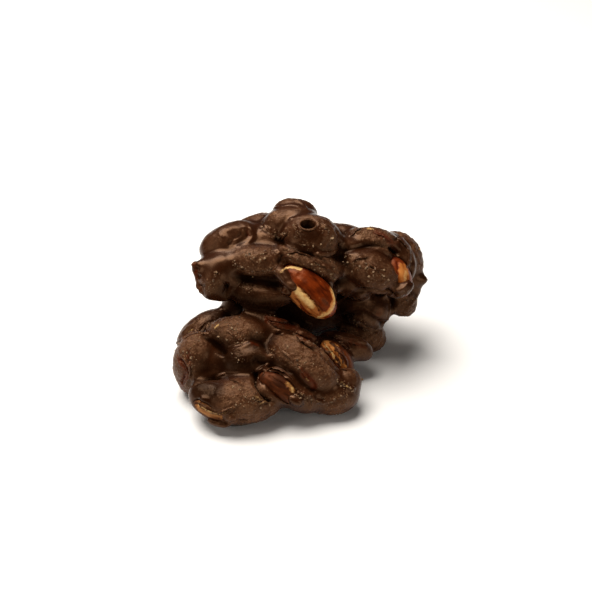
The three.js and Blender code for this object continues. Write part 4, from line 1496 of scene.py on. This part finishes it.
# %% The rows of thin edges
FLAKES = [  # the route, the strip's width and its lift in mm, and how far it is red skin and pale nut
    # the torn edge at the far left
    ([(194, 260), (194, 265), (196, 271)], 1.1, 0.5, 0.5, 0.0),
    ([(195, 269), (197, 275), (197, 281)], 1.0, 0.3, 0.7, 0.0),
    ([(197, 280), (200, 287), (204, 295)], 1.1, 0.4, 0.4, 0.0),
    # the back of the left flank
    ([(195, 334), (199, 329), (203, 325)], 0.7, 0.2, 0.2, 0.0),
    ([(184, 339), (190, 335), (197, 333), (205, 334)], 0.7, 0.15, 0.1, 0.0),
    # the leaves of red skin
    ([(268, 321), (283, 327), (297, 331), (307, 335), (316, 340)], 1.2, 0.5, 0.5, 0.0),
    ([(267, 317), (277, 320), (290, 322), (300, 327)], 1.0, 0.4, 0.55, 0.0),
    ([(277, 331), (292, 333), (303, 340), (314, 347)], 1.1, 0.4, 0.35, 0.0),
    # the upper edge beside the torn kernel
    ([(340, 343), (345, 341), (350, 347)], 0.8, 0.35, 0.3, 0.0),
    ([(336, 337), (348, 341), (360, 345)], 0.8, 0.25, 0.5, 0.0),
    # the dome's lower edge
    ([(318, 255), (329, 254), (336, 250), (340, 246)], 0.8, 0.3, 0.1, 0.0),
    # the plate over the bare kernel
    ([(285, 254), (293, 252), (303, 254), (314, 258)], 1.1, 0.35, 0.0, 0.0),
    ([(312, 259), (321, 263), (329, 268), (336, 275)], 1.0, 0.3, 0.0, 0.0),
    # the lip of the arc
    ([(396, 237), (404, 244), (409, 253), (409, 262), (406, 268)], 0.8, 0.3, 0.1, 0.0),
    # above the front kernel
    ([(262, 376), (267, 370), (276, 368), (286, 373), (293, 380)], 0.8, 0.35, 0.0, 0.0),
    # shards of the torn kernel
    ([(320, 345), (328, 354), (336, 364), (345, 371)], 0.9, 0.4, 0.6, 0.0),
    ([(330, 343), (340, 351), (347, 362), (347, 369)], 0.9, 0.4, 0.6, 0.0),
    ([(329, 342), (334, 346), (337, 352)], 0.8, 0.35, 0.5, 0.0),
    ([(338, 351), (342, 357), (343, 364)], 0.8, 0.4, 0.5, 0.0),
    ([(324, 343), (330, 351), (334, 359)], 0.5, 0.3, 0.0, 0.8),
    ([(330, 350), (336, 358), (341, 366)], 0.5, 0.25, 0.0, 0.8),
    ([(323, 348), (328, 356), (335, 363)], 0.6, 0.35, 0.4, 0.0),
    ([(336, 364), (342, 369), (348, 371)], 0.7, 0.3, 0.4, 0.2),
    ([(322, 349), (328, 352), (333, 351)], 0.5, 0.35, 0.3, 0.0),
    ([(329, 358), (334, 360), (339, 358)], 0.5, 0.35, 0.3, 0.0),
    ([(333, 345), (338, 350), (342, 353)], 0.7, 0.5, 0.4, 0.0),
    ([(337, 343), (343, 345), (348, 349)], 0.9, 0.45, 0.1, 0.15),
    ([(335, 355), (339, 361), (340, 366)], 0.6, 0.45, 0.4, 0.0),
    # the rim of the foot kernel
    ([(198, 403), (206, 407), (217, 412), (227, 409), (233, 407)], 0.8, 0.3, 0.2, 0.3),
    # the red tear at the far left
    ([(181, 360), (187, 367), (188, 375), (183, 384)], 0.8, 0.35, 0.8, 0.0),
    # the dome's left edge
    ([(281, 240), (286, 233), (287, 228)], 0.6, 0.3, 0.0, 0.0),
    # the band's lower edge
    ([(238, 268), (246, 271), (256, 273), (266, 272)], 0.7, 0.3, 0.1, 0.0),
    ([(266, 273), (273, 270), (278, 265)], 0.6, 0.3, 0.0, 0.0),
    # pits in the big nut at the right
    ([(352, 262), (360, 257), (369, 257)], 0.7, 0.3, 0.1, 0.0),
    ([(368, 262), (374, 266), (379, 272)], 0.7, 0.3, 0.1, 0.0),
    # the upper nut at the right and the arc
    ([(350, 237), (355, 231), (363, 228)], 0.7, 0.3, 0.0, 0.0),
    ([(374, 233), (383, 236), (391, 242)], 0.7, 0.3, 0.7, 0.0),
    # the top nut
    ([(226, 329), (233, 335), (237, 341)], 0.6, 0.3, 0.0, 0.0),
    # the big nut of the lower lobe
    ([(282, 350), (289, 356), (294, 362)], 0.6, 0.25, 0.1, 0.0),
    ([(298, 366), (304, 372), (309, 380)], 0.8, 0.3, 0.6, 0.0),
    # the foot
    ([(228, 379), (237, 382), (243, 387)], 0.6, 0.25, 0.1, 0.0),
    # the left flank
    ([(185, 353), (190, 361), (190, 370)], 0.7, 0.3, 0.5, 0.0),
    # the rough nut under the dark round one
    ([(358, 322), (366, 327), (375, 330)], 0.7, 0.3, 0.1, 0.0),
    # more of the foot kernel's rim
    ([(199, 405), (206, 410), (214, 413)], 0.7, 0.3, 0.0, 0.5),
    ([(208, 411), (218, 414), (229, 411)], 0.8, 0.3, 0.0, 0.4),
    ([(222, 414), (230, 412), (236, 407)], 0.6, 0.3, 0.2, 0.3),
    # between the foot and the front kernel
    ([(254, 396), (261, 400), (268, 398)], 0.8, 0.3, 0.2, 0.4),
    ([(258, 404), (264, 402), (270, 404)], 0.7, 0.3, 0.1, 0.4),
]
print(len(FLAKES), "thin edges listed")

# %% [markdown]
# ## Thin torn edges: one strip for each
# A flake is a strip drawn along its route: one side lies in the skin and the other lifts off it, with a
# slightly ragged rim. A route may jump where it passes behind a nut, and then only its longest unbroken
# part is kept.

# %% The form of a thin edge
FLAKE_STEP = 2.0  # pixels between two points of a strip
FLAKE_SIDES = ((0.0, -0.3), (0.5, 0.5), (1.0, 1.0))  # share across the strip, and share of its lift there
FLAKE_RAGGED = 1.2  # how uneven the free side is, as a share of the strip's width
LONGEST_GAP = 1.2  # millimetres from one point to the next


def unbroken(line):
    """The longest run of points of a line without a jump to something that lies behind."""
    gaps = np.linalg.norm(np.diff(line, axis=0), axis=1)
    runs = np.split(line, np.flatnonzero(gaps > LONGEST_GAP) + 1)
    return max(runs, key=len)


def up_from(objects, at):
    """The way straight out of the nearest skin."""
    found = [obj.closest_point_on_mesh(at)[1:3] for obj in objects]
    return min(found, key=lambda pair: (pair[0] - at).length)[1]


def flake(objects, route, width, lift, rng):
    line = unbroken(drawn(objects, route, step=FLAKE_STEP))
    bpy.ops.mesh.primitive_grid_add(x_subdivisions=len(line) - 1, y_subdivisions=2, size=1)
    strip = bpy.context.object
    along = np.gradient(line, axis=0)
    corners = []
    for side, raised in FLAKE_SIDES:
        for point, heading, end in zip(line, along, np.linspace(0, 1, len(line))):
            up = up_from(objects, place(point))
            across = Vector(heading).cross(up).normalized()
            taper = math.sqrt(max(0.0, 1 - (2 * end - 1) ** 2))
            ragged = width * taper * (side - 0.5) * (1 + FLAKE_RAGGED * side * (rng.random() - 0.5))
            corners.append(place(Vector(point) + across * ragged + up * lift * raised * taper))
    set_raw_points(strip, np.array(corners))
    return strip


print("points across a thin edge:", len(FLAKE_SIDES))

# %% [markdown]
# The strips are laid on the finished skins of the coat and the kernels and joined. A Subdivision Surface
# modifier rounds them, and a Solidify modifier gives them their thickness. They wear the chocolate's
# finish, and their own attributes tell how much red skin or pale nut shows in them.

# %% Lay the thin edges
FLAKE_THICK = 0.16  # millimetres
FLAKE_SEED = 5
FLAKE_CROWN, FLAKE_ROUGH = 0.7, 0.4
rng = np.random.default_rng(FLAKE_SEED)
bpy.context.view_layer.update()
skins = [mass] + list(kernels.values())
strips = []
for route, width, lift, red, pale in FLAKES:
    deselect_all()
    strip = flake(skins, route, width, lift, rng)
    shares = {"red_skin": red, "pale_nut": pale, "crown": FLAKE_CROWN, "rough": FLAKE_ROUGH}
    for name, value in shares.items():
        write_attribute(strip, name, np.full(len(strip.data.vertices), value))
    strips.append(strip)
flakes = join("torn_flakes", strips)
modify(flakes, "SUBSURF", levels=1)
modify(flakes, "SOLIDIFY", thickness=FLAKE_THICK * MM, offset=0.0)
bpy.ops.object.shade_smooth()
flakes.data.materials.append(chocolate)
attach(flakes, "root")
print(len(FLAKES), "thin edges laid:", triangles(flakes), "triangles")
